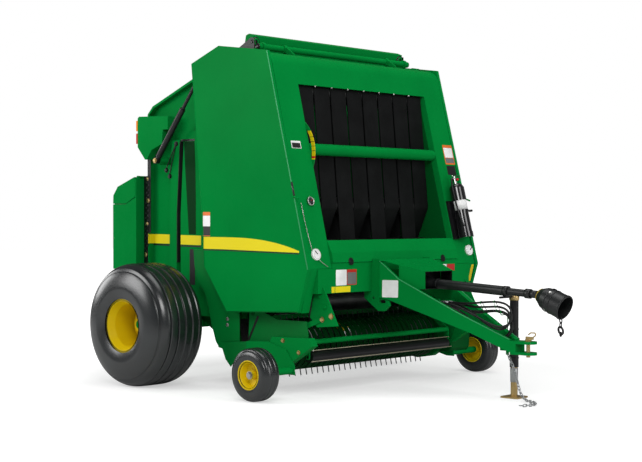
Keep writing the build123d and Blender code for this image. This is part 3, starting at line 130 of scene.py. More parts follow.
hose("lift_hose", "hose_1", [
    (2.104, -0.060, 0.685), (2.200, -0.060, 0.685), (2.316, -0.050, 0.641), (2.420, -0.038, 0.585),
    (2.522, -0.026, 0.520), (2.632, -0.014, 0.465), (2.712, -0.012, 0.467), (2.765, -0.012, 0.527),
    (2.761, -0.010, 0.607), (2.702, -0.007, 0.663), (2.602, 0.000, 0.674), (2.483, 0.008, 0.662),
    (2.353, 0.014, 0.652), (2.245, 0.020, 0.681), (2.155, 0.020, 0.681)])
hose("gate_hose", "hose_2", [
    (2.104, -0.020, 0.685), (2.196, -0.020, 0.685), (2.306, -0.014, 0.634), (2.402, -0.006, 0.574),
    (2.500, 0.002, 0.516), (2.598, 0.012, 0.469), (2.674, 0.013, 0.467), (2.732, 0.013, 0.521),
    (2.735, 0.014, 0.599), (2.681, 0.018, 0.655), (2.582, 0.026, 0.668), (2.464, 0.034, 0.650),
    (2.340, 0.044, 0.640), (2.233, 0.058, 0.672), (2.155, 0.058, 0.672)])
hose("brake_hose", None, [
    (2.104, -0.040, 0.712), (2.22, -0.045, 0.705), (2.34, -0.050, 0.668), (2.46, -0.055, 0.622),
    (2.58, -0.056, 0.572), (2.68, -0.052, 0.549), (2.760, -0.050, 0.575), (2.795, -0.049, 0.650),
    (2.755, -0.046, 0.722), (2.660, -0.043, 0.745), (2.52, -0.040, 0.735), (2.38, -0.032, 0.718),
    (2.25, -0.014, 0.716), (2.155, -0.012, 0.716)])
hose("wrap_hose", None, [
    (2.104, 0.016, 0.716), (2.21, 0.010, 0.712), (2.33, -0.008, 0.676), (2.45, -0.027, 0.618),
    (2.555, -0.033, 0.556), (2.650, -0.033, 0.528), (2.728, -0.032, 0.548), (2.764, -0.030, 0.617),
    (2.734, -0.026, 0.682), (2.655, -0.021, 0.706), (2.56, -0.014, 0.700), (2.46, -0.004, 0.692),
    (2.36, 0.010, 0.692), (2.25, 0.034, 0.708), (2.155, 0.042, 0.716)])
print("hoses laid")

# %% [markdown]
# ## Surfaces on grids
# Nearly every piece here is a grid of points bent into shape: a tyre is a profile carried round a circle, a
# stripe is a strip laid along a curve, a plate is an outline carried through its thickness. One helper turns
# a grid into a mesh, and others fill the grid. A table says which slot of the record each finish belongs to,
# and a few pieces name a slot of their own; the mesh helper works the slot out but keeps it nowhere.

# %% Grid to mesh
FINISHES_OF_SLOT = {
    "green_paint": ["leaf_green_paint", "green_paint_in_half_shade", "green_paint_in_shade", "green_paint_in_deep_shade",
                    "edge_shine"],
    "yellow_paint": ["corn_yellow_paint", "lemon_film", "ring_yellow", "orange_plate", "red_plastic"],
    "black_paint": ["chassis_black_paint"],
    "black_plastic": ["blank_black", "blank_grey", "guard_plastic", "hose_rubber"],
    "white_plastic": ["blank_white"],
    "plain_steel": ["bright_bolt", "galvanised", "steel_in_painted_shade"],
    "zinc_yellow": ["yellow_zinc", "pale_rod"],
    "tyre_rubber": ["tyre_rubber"],
}
SLOT_OF = {finish: slot for slot, finishes in FINISHES_OF_SLOT.items() for finish in finishes}


def tidy_normals(piece):
    """Merge points that fall together, such as poles and seams, and turn all faces outwards."""
    work = bmesh.new()
    work.from_mesh(piece.data)
    bmesh.ops.remove_doubles(work, verts=work.verts, dist=1e-5)
    bmesh.ops.dissolve_degenerate(work, edges=work.edges, dist=1e-7)
    bmesh.ops.recalc_face_normals(work, faces=work.faces)
    work.to_mesh(piece.data)
    work.free()


def make_piece(name, points, faces, body, finish, slot=None, smooth=True):
    """Mesh from an array of points and a list of faces, riding on a body, with its finish."""
    slot = slot or SLOT_OF[finish]
    mesh = bpy.data.meshes.new(name)
    mesh.from_pydata((np.asarray(points, dtype=float).reshape(-1, 3) + AXLE).tolist(), [], faces)
    mesh.update()
    mesh.polygons.foreach_set("use_smooth", np.full(len(mesh.polygons), smooth))
    piece = bpy.data.objects.new(name, mesh)
    bpy.context.scene.collection.objects.link(piece)
    mesh.materials.append(finish_of(finish))
    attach(piece, body)
    tidy_normals(piece)
    return piece


def grid_faces(rows, columns, close_rows=False, close_columns=False, first=0):
    """Quads of a grid whose point (i, j) is number first + i * columns + j, wrapped where closed."""
    i = np.arange(rows if close_rows else rows - 1)[:, None]
    j = np.arange(columns if close_columns else columns - 1)[None, :]
    next_i, next_j = (i + 1) % rows, (j + 1) % columns
    corners = (i * columns + j, next_i * columns + j, next_i * columns + next_j, i * columns + next_j)
    return (np.stack(np.broadcast_arrays(*corners), axis=-1).reshape(-1, 4) + first).tolist()


# %% Round bodies
ROUND_X, ROUND_Y, ROUND_Z = (Y, Z, X), (Z, X, Y), (X, Y, Z)


def round_piece(name, profile, centre, ways, body, finish, turns=40, closed=False):
    """Carry a profile of (radius, distance along the axis) once round. The three ways are where
    the turn starts, where it is after a quarter, and the axis, so that a point is
    centre + radius * (cos t * start + sin t * quarter) + distance * axis."""
    start, quarter, axis = ways
    t = np.linspace(0, 2 * np.pi, turns, endpoint=False)[:, None, None]
    radius, distance = np.asarray(profile, dtype=float).T[:, None, :, None]
    grid = centre + radius * (np.cos(t) * start + np.sin(t) * quarter) + distance * axis
    faces = grid_faces(turns, len(profile), close_rows=True, close_columns=closed)
    return make_piece(name, grid, faces, body, finish)


# %% Plates
def plate(name, outline, near, far, body, finish, bevel=0.0):
    """A flat plate: an outline of (x, z) carried from y = near to y = far."""
    x, z = np.asarray(outline, dtype=float).T
    n = len(x)
    points = np.concatenate([np.stack([x, np.full(n, y), z], axis=-1) for y in (near, far)])
    faces = grid_faces(2, n, close_columns=True) + [tuple(range(n)), tuple(range(2 * n - 1, n - 1, -1))]
    piece = make_piece(name, points, faces, body, finish, smooth=False)
    if bevel:
        soften = piece.modifiers.new("edge", "BEVEL")
        soften.width, soften.segments, soften.limit_method = bevel, 2, "ANGLE"
    return piece


def side_plates(name, outline, near, far, body, finish, bevel=0.0):
    """The same plate on both sides, near and far from the middle; * stands for the side's name."""
    for side, sign in SIDES:
        plate(name.replace("*", side), outline, sign * near, sign * far, body, finish, bevel)


def box_plate(name, low, high, body, finish, bevel=0.002):
    """A block between two corners, its edges rounded over."""
    (x0, y0, z0), (x1, y1, z1) = low, high
    return plate(name, [(x0, z0), (x1, z0), (x1, z1), (x0, z1)], y0, y1, body, finish, bevel)


# %% [markdown]
# ## Finishes
# Farm machines wear a thick, glossy two-pack paint. Up close it has a faint orange peel, and the light
# catches a slightly different gloss from panel to panel. The numbers that are the same all over stay on the
# shader; noise only drives what truly varies.

# %% Material helpers
WHITE = (1, 1, 1, 1)


def add(tree, kind, given=None):
    """A node of a tree; each of its inputs named in given takes a number or a node's output."""
    node = tree.nodes.new(kind)
    for name, value in (given or {}).items():
        if isinstance(value, bpy.types.NodeSocket):
            tree.links.new(value, node.inputs[name])
        else:
            node.inputs[name].default_value = value
    return node


def new_finish(name, colour, rough, metal=0.0, coat=0.0, specular=0.5):
    """A material with its shader set up; returns the node tree and the shader."""
    material = finish_of(name)
    material.use_nodes = True
    material.diffuse_color = (*colour, 1)
    tree = material.node_tree
    tree.nodes.clear()
    shader = add(tree, "ShaderNodeBsdfPrincipled", {
        "Base Color": (*colour, 1), "Roughness": rough, "Metallic": metal, "Coat Weight": coat,
        "Coat Roughness": 0.08, "Specular IOR Level": specular})
    add(tree, "ShaderNodeOutputMaterial", {"Surface": shader.outputs["BSDF"]})
    return tree, shader


def object_place(tree):
    """The place of a point in the machine's own metres."""
    return add(tree, "ShaderNodeTexCoord").outputs["Object"]


def noise(tree, scale, detail=4.0, stretch=(1, 1, 1)):
    """Noise over the machine's metres, stretched by a scale for each axis."""
    mapping = add(tree, "ShaderNodeMapping", {"Scale": stretch, "Vector": object_place(tree)})
    texture = add(tree, "ShaderNodeTexNoise", {
        "Scale": scale, "Detail": detail, "Vector": mapping.outputs["Vector"]})
    return texture.outputs["Fac"]


def ramp(tree, value, stops, interpolation="LINEAR"):
    """Map a value to a colour through stops of (place, colour)."""
    node = add(tree, "ShaderNodeValToRGB", {"Fac": value})
    node.color_ramp.interpolation = interpolation
    while len(node.color_ramp.elements) < len(stops):
        node.color_ramp.elements.new(0.5)
    for element, (place, colour) in zip(node.color_ramp.elements, stops):
        element.position = place
        element.color = (*colour, 1)
    return node.outputs["Color"]


def remap(tree, value, low, high, first=0.0, last=1.0):
    """Map first..last to low..high."""
    return add(tree, "ShaderNodeMapRange", {
        "Value": value, "From Min": first, "From Max": last, "To Min": low, "To Max": high}).outputs["Result"]


def shade(colour, share):
    """The colour made lighter or darker by a share."""
    return tuple(min(1.0, c * share) for c in colour)


def drift(tree, shader, colour, scale, detail, darker, lighter, first=0.3):
    """Let the base colour wander slowly between a darker and a lighter shade of itself."""
    stops = [(first, shade(colour, darker)), (0.7, shade(colour, lighter))]
    tree.links.new(ramp(tree, noise(tree, scale, detail), stops), shader.inputs["Base Color"])


def bump(tree, shader, height, strength, distance):
    """Raise the surface by a height map; distance is in metres."""
    node = add(tree, "ShaderNodeBump", {"Strength": strength, "Distance": distance, "Height": height})
    tree.links.new(node.outputs["Normal"], shader.inputs["Normal"])


# %% Paint
def paint(name, colour, rough=0.26, spread=0.08, specular=0.012):
    """Glossy paint: a slow drift of tone, patchy gloss and faint orange peel."""
    tree, shader = new_finish(name, colour, rough, specular=specular)
    drift(tree, shader, colour, 1.6, 3.0, 1 - spread, 1 + spread)
    tree.links.new(remap(tree, noise(tree, 9.0, 5.0), rough - 0.06, rough + 0.10), shader.inputs["Roughness"])
    bump(tree, shader, noise(tree, 260.0, 2.0), 0.10, 0.0004)


green = (0.0008, 0.214, 0.036)
yellow = (0.74, 0.54, 0.004)
black = (0.010, 0.010, 0.011)
paint("leaf_green_paint", green)
# the machine has one green; the three darker copies below are that green with painted shade, from half shade
# to deep shade, for parts that lie away from the light
paint("green_paint_in_half_shade", shade(green, 0.75), rough=0.36, specular=0.08)
paint("green_paint_in_shade", shade(green, 0.42), rough=0.42, specular=0.06)
paint("green_paint_in_deep_shade", shade(green, 0.17), rough=0.5, specular=0.04)
paint("corn_yellow_paint", yellow, rough=0.33, spread=0.05, specular=0.25)
paint("lemon_film", (0.84, 0.70, 0.010), rough=0.30, spread=0.03, specular=0.2)
# edge_shine is a lighter green: a painted highlight along the rounded hems
paint("edge_shine", (0.045, 0.34, 0.13), rough=0.30, specular=0.2)
paint("chassis_black_paint", (0.007, 0.007, 0.008), rough=0.32, spread=0.2, specular=0.4)
print("paints ready")

# %% [markdown]
# ## Rubber
# Tyres are a dusty charcoal with a satin sheen. Baler belts are woven and pressed with a fine diamond grip,
# seen as short vertical dashes of light.

# %% Rubber
def rubber(name, colour, rough, grain, lift, specular=0.4):
    """Matt rubber with fine grain and slow dusty patches."""
    tree, shader = new_finish(name, colour, rough, specular=specular)
    drift(tree, shader, colour, 6.0, 6.0, 0.8, 1.35, first=0.35)
    bump(tree, shader, noise(tree, grain, 3.0), lift, 0.0008)
    return tree, shader


rubber("tyre_rubber", (0.0095, 0.0120, 0.0130), 0.27, 180.0, 0.09, 0.85)
rubber("hose_rubber", (0.012, 0.012, 0.013), 0.42, 300.0, 0.2)
tree, shader = rubber("belt_rubber", (0.0060, 0.0064, 0.0066), 0.55, 90.0, 0.3, 0.10)
bump(tree, shader, noise(tree, 60.0, 2.0, stretch=(1.0, 3.2, 0.35)), 0.55, 0.0025)

# %% [markdown]
# ## Bare metals, zinc and plastics
# Rollers are steel polished by crop, jack and pin are yellow-passivated zinc, the driveline
# guard is black moulded plastic.

# %% Metals and plastics
def metal(name, colour, rough, grain=(1, 1, 1)):
    """Worn metal: brushed streaks in the roughness and small tone changes."""
    tree, shader = new_finish(name, colour, rough, metal=1.0)
    drift(tree, shader, colour, 12.0, 5.0, 0.75, 1.15)
    streaks = remap(tree, noise(tree, 40.0, 4.0, grain), rough - 0.1, rough + 0.15)
    tree.links.new(streaks, shader.inputs["Roughness"])


metal("roller_steel", (0.10, 0.10, 0.10), 0.42, (12, 1, 12))
metal("bright_bolt", (0.62, 0.62, 0.60), 0.32)
metal("yellow_zinc", (0.62, 0.45, 0.20), 0.38, (1, 1, 6))
metal("galvanised", (0.50, 0.51, 0.52), 0.45)
# a dark steel darkened further as painted shade, for the reel's tines and the chain links in the shaded
# channel
metal("steel_in_painted_shade", (0.09, 0.09, 0.095), 0.38)


def plastic(name, colour, rough):
    """Moulded plastic with a fine texture."""
    tree, shader = new_finish(name, colour, rough)
    drift(tree, shader, colour, 8.0, 4.0, 0.85, 1.2)
    bump(tree, shader, noise(tree, 120.0, 2.0), 0.15, 0.0005)


plastic("guard_plastic", (0.010, 0.011, 0.0115), 0.38)
plastic("white_plastic", (0.88, 0.88, 0.86), 0.35)
plastic("orange_plate", (0.75, 0.16, 0.02), 0.4)
plastic("red_plastic", (0.55, 0.02, 0.015), 0.3)
plastic("ring_yellow", (0.45, 0.33, 0.02), 0.4)
plastic("blank_white", (0.88, 0.89, 0.88), 0.45)
plastic("blank_grey", (0.16, 0.16, 0.16), 0.45)
plastic("blank_black", (0.012, 0.011, 0.012), 0.45)
plastic("pale_rod", (0.42, 0.38, 0.26), 0.4)

# %% [markdown]
# ## The sloping front face
# The face between the shields leans back. A point of it is given by its y and its height, and
# three ways belong to it: across, up the slope and out of it.

# %% Front face
FACE_BACK, FACE_RISE = 0.428, 1.702     # how far the face goes back over how much height
FACE_FOOT_X, FACE_FOOT_Z = 1.626, 0.992
LEAN = math.atan2(FACE_BACK, FACE_RISE)
UP_FACE = -math.sin(LEAN) * X + math.cos(LEAN) * Z
OUT_FACE = math.cos(LEAN) * X + math.sin(LEAN) * Z


def on_face(y, z, proud=0.0):
    """A point of the sloping front face at a height, moved out from it."""
    x = FACE_FOOT_X - (z - FACE_FOOT_Z) / FACE_RISE * FACE_BACK
    return np.array([x, y, z]) + OUT_FACE * proud


# %% [markdown]
# ## Paint that changes with place
# The bale scale is a green strap whose middle is yellow, with a red mark low down and fine
# ticks. The extinguisher is black enamel with a bare valve on top. Both are one solid, so the
# finish asks how far along the piece a point lies and picks the colour from a stepped ramp.

# %% Stepped finishes
def stepped(tree, direction, start, length, stops):
    """Colours that change at once at each stop; a point's place on the ramp is how far it lies
    along a direction: (point . direction - start) / length."""
    dot = add(tree, "ShaderNodeVectorMath", {0: object_place(tree), 1: tuple(direction)})
    dot.operation = "DOT_PRODUCT"
    share = remap(tree, dot.outputs["Value"], 0.0, 1.0, start, start + length)
    return ramp(tree, share, stops, "CONSTANT")


tree, shader = new_finish("scale_paint", yellow, 0.35, specular=0.2)
ticks = [(0.0, green), (0.215, yellow), (0.245, (0.60, 0.01, 0.01)), (0.285, yellow)]
for place in (0.38, 0.475, 0.565, 0.655):
    ticks += [(place, (0.12, 0.10, 0.01)), (place + 0.012, yellow)]
tree.links.new(stepped(tree, Z, 1.75, 0.4, ticks + [(0.785, green)]), shader.inputs["Base Color"])

# each pair of lenses is one solid: the upper half is amber, the lower one red
tree, shader = new_finish("lens_pair", (0.90, 0.28, 0.01), 0.12, coat=0.6)
lens_tone = stepped(tree, Z, 2.0, 0.25, [(0.0, (0.55, 0.03, 0.02)), (0.5, (0.90, 0.26, 0.01))])
tree.links.new(lens_tone, shader.inputs["Base Color"])

BOTTLE = on_face(0.895, 1.216) + X * 0.0723 / math.cos(LEAN)    # the foot of the extinguisher's axis
BOTTLE_HEIGHT, VALVE_SHARE = 0.60, 0.78
tree, shader = new_finish("bottle_enamel", black, 0.10, coat=0.8)
foot = float((BOTTLE + AXLE) @ UP_FACE)
for socket, low_tone, high_tone in (("Base Color", black, (0.42, 0.42, 0.41)),
                                    ("Metallic", (0, 0, 0), (1, 1, 1))):
    tone = stepped(tree, UP_FACE, foot, BOTTLE_HEIGHT, [(0.0, low_tone), (VALVE_SHARE, high_tone)])
    tree.links.new(tone, shader.inputs[socket])
bump(tree, shader, noise(tree, 220.0, 2.0), 0.04, 0.0003)

# %% [markdown]
# ## Finishes on the frame's own solids
# A solid whose shape is right keeps its mesh and only gets a better material, so a table says
# which finish each one wears; everything that isn't named wears the green paint.

# %% Dress the solids
other_finish = {
    "corn_yellow_paint": ["rim_right", "rim_left", "gauge_rim_right", "gauge_rim_left"],
    "chassis_black_paint": ["barrel_right", "barrel_left", "rod_right", "rod_left", "jack_tube",
                            "wind_roller"],
    "tyre_rubber": ["tyre_right", "tyre_left", "gauge_tyre_right", "gauge_tyre_left"],
    "belt_rubber": ["front_belts", "rear_belts"],
    "roller_steel": ["chamber_rollers", "gate_rollers"],
    "yellow_zinc": ["hitch_pin", "jack_leg"],
    "white_plastic": ["dials"],
    "galvanised": ["safety_chain"],
    "lens_pair": ["lamps"],
    "scale_paint": ["size_indicator"],
    "bottle_enamel": ["extinguisher"],
    "guard_plastic": ["pto_tube", "pto_shaft", "pto_bell"],
    # the reel's tines wear steel darkened as painted shade; the chamber walls and gate frame wear green in
    # painted shade, the pickup frame green in painted half shade, the stripper bands green in painted deep
    # shade
    "steel_in_painted_shade": ["reel"],
    "green_paint_in_shade": ["chamber_walls", "gate_frame"],
    "green_paint_in_half_shade": ["pickup_frame"],
    "green_paint_in_deep_shade": ["stripper_bands"],
}
finish_for = {node: name for name, nodes in other_finish.items() for node in nodes}
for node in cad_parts:
    solid = bpy.data.objects[node] if isinstance(node, str) else node
    wanted = finish_of(finish_for.get(solid.name, "leaf_green_paint"))
    if not solid.material_slots:
        solid.data.materials.append(wanted)
    for place in solid.material_slots:
        place.material = wanted

# %% [markdown]
# ## Ribbed tyres
# Implement tyres roll without driving, so their tread is plain ribs with deep grooves between,
# which keep the machine from sliding sideways. A tyre is one profile carried round its axle:
# the profile's radius is the carcass curve less a groove term that is deep only in the tread.

# %% Tyre profile
TREAD_EDGE, GROOVE_LEVEL, GROOVE_STEEPNESS = 0.86, 0.86, 40


def tyre_profile(radius, width, bead_radius, ribs, groove):
    """Radius over width, u from -1 to 1 across it. Carcass: bead radius + rise * (1 - |u|^5)^0.5.
    Tread: inside its edge a comb of cosines takes a groove's depth off where it falls under
    -0.86. The beads stand a tenth narrower, and the profile goes back round the inside."""
    u = np.linspace(-1, 1, 26 * ribs + 1)
    carcass = np.sqrt(np.clip(1 - np.abs(u) ** 5, 0, 1))
    comb = np.cos(np.pi * (u / 0.80 * ribs + (ribs + 1) % 2))
    cut = 1 / (1 + np.exp((comb + GROOVE_LEVEL) * GROOVE_STEEPNESS))
    outer = bead_radius + (radius - bead_radius) * carcass - groove * cut * (np.abs(u) < TREAD_EDGE)
    bead = 0.45 * width
    across = u * np.where(np.abs(u) < 1, width / 2, bead)
    inside = [(bead_radius - 0.012, bead), (bead_radius - 0.014, 0.0), (bead_radius - 0.012, -bead)]
    return np.concatenate([np.c_[outer, across], inside])


for kind, ribs, groove, bead_radius, turns in (("", 6, 0.018, 0.219, 144), ("gauge_", 3, 0.006, 0.110, 72)):
    for side, sign in SIDES:
        node = f"{kind}tyre_{side}"
        low, high = box_of(node)
        profile = tyre_profile((high[2] - low[2]) / 2, high[1] - low[1], bead_radius, ribs, groove)
        piece = round_piece(f"{node}_ribbed", profile, (low + high) / 2, ROUND_Y,
                            f"{kind}wheel_{side}", "tyre_rubber", turns)
        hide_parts(node)
print("tyres made")

# %% [markdown]
# ## Bolts and nuts
# Bolt heads are hexagons with a chamfered crown on a washer. Each is a profile carried through
# six corners, and a whole row of them is one mesh, placed by adding their centres to the grid.

# %% Bolts
def bolt_points(centres, directions, across, height):
    """Rings of a round washer and a hexagon head, twelve points at each of six levels along the
    bolt's direction, as an array of (bolt, level, point, xyz)."""
    centres = np.asarray(centres, dtype=float).reshape(-1, 3)
    directions = np.broadcast_to(np.asarray(directions, dtype=float), centres.shape)
    directions = directions / np.linalg.norm(directions, axis=1, keepdims=True)
    side_way = np.cross(directions, np.where(np.abs(directions[:, 2:]) < 0.9, [Z], [X]))
    side_way /= np.linalg.norm(side_way, axis=1, keepdims=True)
    up_way = np.cross(directions, side_way)
    t = np.arange(12) * np.pi / 6
    washer, head, crown = across * 0.85, across * 0.58, across * 0.48
    round_ring, hexagon = np.ones(12), 1 / np.cos((t + np.pi / 6) % (np.pi / 3) - np.pi / 6)
    levels = []
    for radius, share, outline in (
            (washer, 0.0, round_ring), (washer, 0.22, round_ring), (head, 0.22, hexagon),
            (head, 0.8, hexagon), (crown, 1.0, hexagon), (0.0, 1.0, round_ring)):
        reach = radius * outline
        levels.append(centres[:, None, :] + directions[:, None, :] * height * share
                      + side_way[:, None, :] * (reach * np.cos(t))[None, :, None]
                      + up_way[:, None, :] * (reach * np.sin(t))[None, :, None])
    return np.stack(levels, axis=1)


def bolts(name, centres, direction, body, finish="bright_bolt", across=0.019, height=0.012):
    """A row of bolts as one mesh."""
    points = bolt_points(centres, direction, across, height)
    count, levels, corners = points.shape[:3]
    faces = [f for k in range(count)
             for f in grid_faces(levels, corners, close_columns=True, first=k * levels * corners)]
    return make_piece(name, points, faces, body, finish, smooth=False)


def side_bolts(name, y, places, body, finish, across, height):
    """Bolts at the same (x, z) places on both sides, at y from the middle, heads outwards."""
    for side, sign in SIDES:
        centres = [(x, sign * y, z) for x, z in places]
        bolts(name.replace("*", side), centres, sign * Y, body, finish, across, height)


# %% Wheel nuts
NUT_CIRCLE, NUT_PLANE = 0.079, 0.015     # the eight nuts' radius, and how far out of the rim's middle
around = np.arange(8) * np.pi / 4 + 0.2
for side, sign in SIDES:
    low, high = box_of(f"rim_{side}")
    centre = (low + high) / 2 + sign * NUT_PLANE * Y
    nuts = centre + NUT_CIRCLE * (np.outer(np.cos(around), X) + np.outer(np.sin(around), Z))
    bolts(f"wheel_nuts_{side}", nuts, sign * Y, f"wheel_{side}", across=0.022, height=0.02)
print("wheel nuts made")

# %% [markdown]
# ## Stripes
# A yellow stripe runs from the wheel box over the side shield, where its top edge bends down
# into a point, with a thin dark line under it. It is a thin film, so it is a strip of points
# between a lower and an upper curve, laid a fraction of a millimetre proud of the sheet.

# %% Stripe strips
GATE_SIDE = 0.808           # outer face of the gate's side sheet
CHAMBER_SIDE = 0.7935       # just outside the chamber wall
PANEL_SIDE = 0.858          # outer face of the panel beside the chamber
FILM_LIFT, FILM_THICK = 0.0002, 0.0008


def film(name, x, lower, upper, y, body, finish):
    """A thin film on a side sheet: for each x a lower and an upper height, at the sheet's y."""
    outline = np.concatenate([np.c_[x, lower], np.c_[x, upper][::-1]])
    sign = np.sign(y)
    plate(name, outline, y + sign * FILM_LIFT, y + sign * (FILM_LIFT + FILM_THICK), body, finish)


for side, sign in SIDES:
    shield = f"shield_{side}"
    low, high = box_of(shield)
    outer_y = (low if sign < 0 else high)[1]
    x = np.linspace(0.470, 1.548, 60)
    bend = np.clip((x - 0.70) / 0.848, 0, 1)
    top = 1.2265 - 0.098 * bend ** 2.6
    bottom = 1.130 - 0.014 * bend
    film(f"stripe_{side}", x, bottom, np.maximum(top, bottom + 0.001), outer_y, shield, "lemon_film")
    film(f"underline_{side}", x, bottom - 0.012, bottom - 0.004, outer_y, shield, "chassis_black_paint")
# The band goes on over the gate's panel, its front flange and the box beside the chamber.
for side, sign in SIDES:
    for part, body, y, start, end, low, high in (
            ("rim", "tailgate", 0.8600, -0.483, -0.472, 1.160, 1.242),
            ("rear", "tailgate", GATE_SIDE, -0.472, -0.214, 1.160, 1.240),
            ("front", "main", PANEL_SIDE, -0.058, 0.198, 1.155, 1.235)):
        film(f"band_{part}_{side}", [start, end], [low, low - 0.003], [high, high - 0.003],
             sign * y, body, "lemon_film")
        film(f"band_line_{part}_{side}", [start, end], [low - 0.018, low - 0.021],
             [low - 0.005, low - 0.008], sign * y, body, "chassis_black_paint")
print("stripes laid")

# %% [markdown]
# ## Tubes
# Rods, hems, straps and bent bars are one circle carried along a path. The path is smoothed by
# Catmull-Rom: between two given points, a point is a cubic blend of the four nearest ones.

# %% Tube helpers
PATH_STEPS = 6              # points of a smoothed path for each given one


def smooth_path(points):
    """Catmull-Rom through the points, as one array expression over spans and shares t:
    0.5 * (2 b + (c - a) t + (2 a - 5 b + 4 c - d) t^2 + (3 b - a - 3 c + d) t^3)."""
    p = np.asarray(points, dtype=float)
    p = np.concatenate([2 * p[:1] - p[1:2], p, 2 * p[-1:] - p[-2:-1]])
    a, b, c, d = (p[i:len(p) - 3 + i, None, :] for i in range(4))
    t = np.linspace(0, 1, PATH_STEPS, endpoint=False)[None, :, None]
    curve = (2 * b + (c - a) * t + (2 * a - 5 * b + 4 * c - d) * t ** 2
             + (3 * b - a - 3 * c + d) * t ** 3) / 2
    return np.concatenate([curve.reshape(-1, 3), p[-2:-1]])


def tube(name, path, radius, body, finish, sides=10, squash=1.0, slot=None):
    """A tube along a path: each ring is centre + r (cos t * across + sin t * over), where across
    and over stand square to the path. The ends are closed by a ring of no size."""
    path = np.asarray(path, dtype=float)
    way = np.gradient(path, axis=0)
    way /= np.linalg.norm(way, axis=1, keepdims=True)
    guide = Y if abs(way[:, 1]).max() < 0.9 else np.array([0.31, 0.0, 0.95])
    across = np.cross(way, guide)
    across /= np.linalg.norm(across, axis=1, keepdims=True)
    over = np.cross(way, across)
    path, across, over = (np.concatenate([v[:1], v, v[-1:]]) for v in (path, across, over))
    size = np.full(len(path), float(radius))
    size[[0, -1]] = 0
    t = np.linspace(0, 2 * np.pi, sides, endpoint=False)[None, :, None]
    ring = across[:, None] * np.cos(t) + squash * over[:, None] * np.sin(t)
    grid = path[:, None] + size[:, None, None] * ring
    return make_piece(name, grid, grid_faces(len(path), sides, close_columns=True), body, finish, slot)


def side_tubes(name, path, radius, body, finish, sides=10, squash=1.0):
    """The same tube on both sides; the path is the left one's, and * stands for the side's name."""
    for side, sign in SIDES:
        tube(name.replace("*", side), path * np.array([1, sign, 1]), radius, body.replace("*", side),
             finish, sides, squash)


# %% [markdown]
# ## Blank plates
# Safety and data plates are thin printed film. Here each one is a plain field of its colour:
# a rounded rectangle, x = w/2 * sgn(cos t) |cos t|^0.08 and likewise across, a fraction of a
# millimetre thick. Several fields side by side or one on another make a plate with a header.

# %% Film fields
FIELD_LIFT, FIELD_THICK = 0.0003, 0.0007
ON_TOP = 0.0008             # how far a second field stands out over the first


def round_off(share, corner):
    """A cosine or sine pushed out towards 1 or -1, which squares the circle."""
    return (np.sign(share) * np.abs(share) ** corner)[:, None]


def field(name, centre, right, up, width, height, body, finish, corner=0.08, slot=None):
    """A rounded rectangle of film with its back on a surface, spanned by right and up."""
    out = np.cross(right, up)
    out, right, up = (np.asarray(v) / np.linalg.norm(v) for v in (out, right, up))
    t = np.linspace(0, 2 * np.pi, 48, endpoint=False) + np.pi / 48
    flat = (centre + width / 2 * round_off(np.cos(t), corner) * right
            + height / 2 * round_off(np.sin(t), corner) * up)
    points = np.concatenate([flat + out * FIELD_LIFT, flat + out * (FIELD_LIFT + FIELD_THICK)])
    faces = grid_faces(2, 48, close_columns=True) + [tuple(range(48, 96)), tuple(range(47, -1, -1))]
    return make_piece(name, points, faces, body, finish, slot, smooth=False)


# %% Plates on the shields, columns and beam
for side, sign in SIDES:
    for k, (z, high, finish) in enumerate(((1.4145, 0.029, "orange_plate"), (1.356, 0.086, "blank_white"),
                                           (1.275, 0.074, "blank_black"), (1.235, 0.005, "orange_plate"))):
        field(f"shield_plate_{side}_{k}", (0.507, sign * 1.077, z), -sign * X, Z, 0.086, high,
              f"shield_{side}", finish, 0.06)
for name, y, z, proud, wide, high, finish in (
        ("small_plate_rim", -0.942, 1.950, 0.0, 0.106, 0.060, "blank_white"),
        ("warning_orange", 0.977, 1.932, 0.0, 0.132, 0.176, "orange_plate"),
        ("load_plate", 0.974, 1.795, 0.0, 0.118, 0.082, "blank_black"),
        ("small_plate_field", -0.942, 1.944, ON_TOP, 0.092, 0.040, "blank_black"),
        ("warning_white", 0.977, 1.950, ON_TOP, 0.116, 0.088, "blank_white"),
        ("warning_grey", 0.977, 1.881, ON_TOP, 0.116, 0.044, "blank_grey")):
    field(name, on_face(y, z, proud), Y, UP_FACE, wide, high, "main", finish)
BEAM_FRONT = 1.630          # front of the cross beam
for name, y, z, proud, wide, high, finish in (
        ("beam_plate_white", -0.690, 0.918, 0.0, 0.124, 0.122, "blank_white"),
        ("beam_plate_red", -0.568, 0.918, 0.0, 0.116, 0.122, "red_plastic"),
        ("beam_strip", -0.672, 0.826, 0.0, 0.176, 0.046, "lemon_film"),
        ("beam_strip_end", -0.784, 0.826, 0.0, 0.036, 0.046, "lemon_film"),
        ("beam_plate_white_left", 0.589, 0.962, 0.0, 0.104, 0.056, "blank_white"),
        ("beam_plate_red_left", 0.697, 0.962, 0.0, 0.106, 0.056, "red_plastic"),
        ("beam_plate_grey_right", -0.568, 0.910, ON_TOP, 0.104, 0.092, "blank_grey")):
    field(name, (BEAM_FRONT + proud, y, z), Y, Z, wide, high, "main", finish)
TONGUE_FOOT = np.array([1.7, -0.33, 0.0])       # where the right tongue plate starts
TONGUE_WAY = np.array([1.07, 0.29, 0.0]) / math.hypot(1.07, 0.29)
TONGUE_OUT = np.cross(TONGUE_WAY, Z)
field("tongue_plate", TONGUE_FOOT + TONGUE_OUT * 0.02 + TONGUE_WAY * 0.113 + Z * 0.823, TONGUE_WAY,
      (0.02, 0, 1), 0.138, 0.136, "main", "blank_white")
for side, sign in SIDES:
    field(f"band_flange_{side}", (-0.4718, sign * 0.834, 1.200), Y, Z, 0.050, 0.080, "tailgate",
          "lemon_film", 0.05)
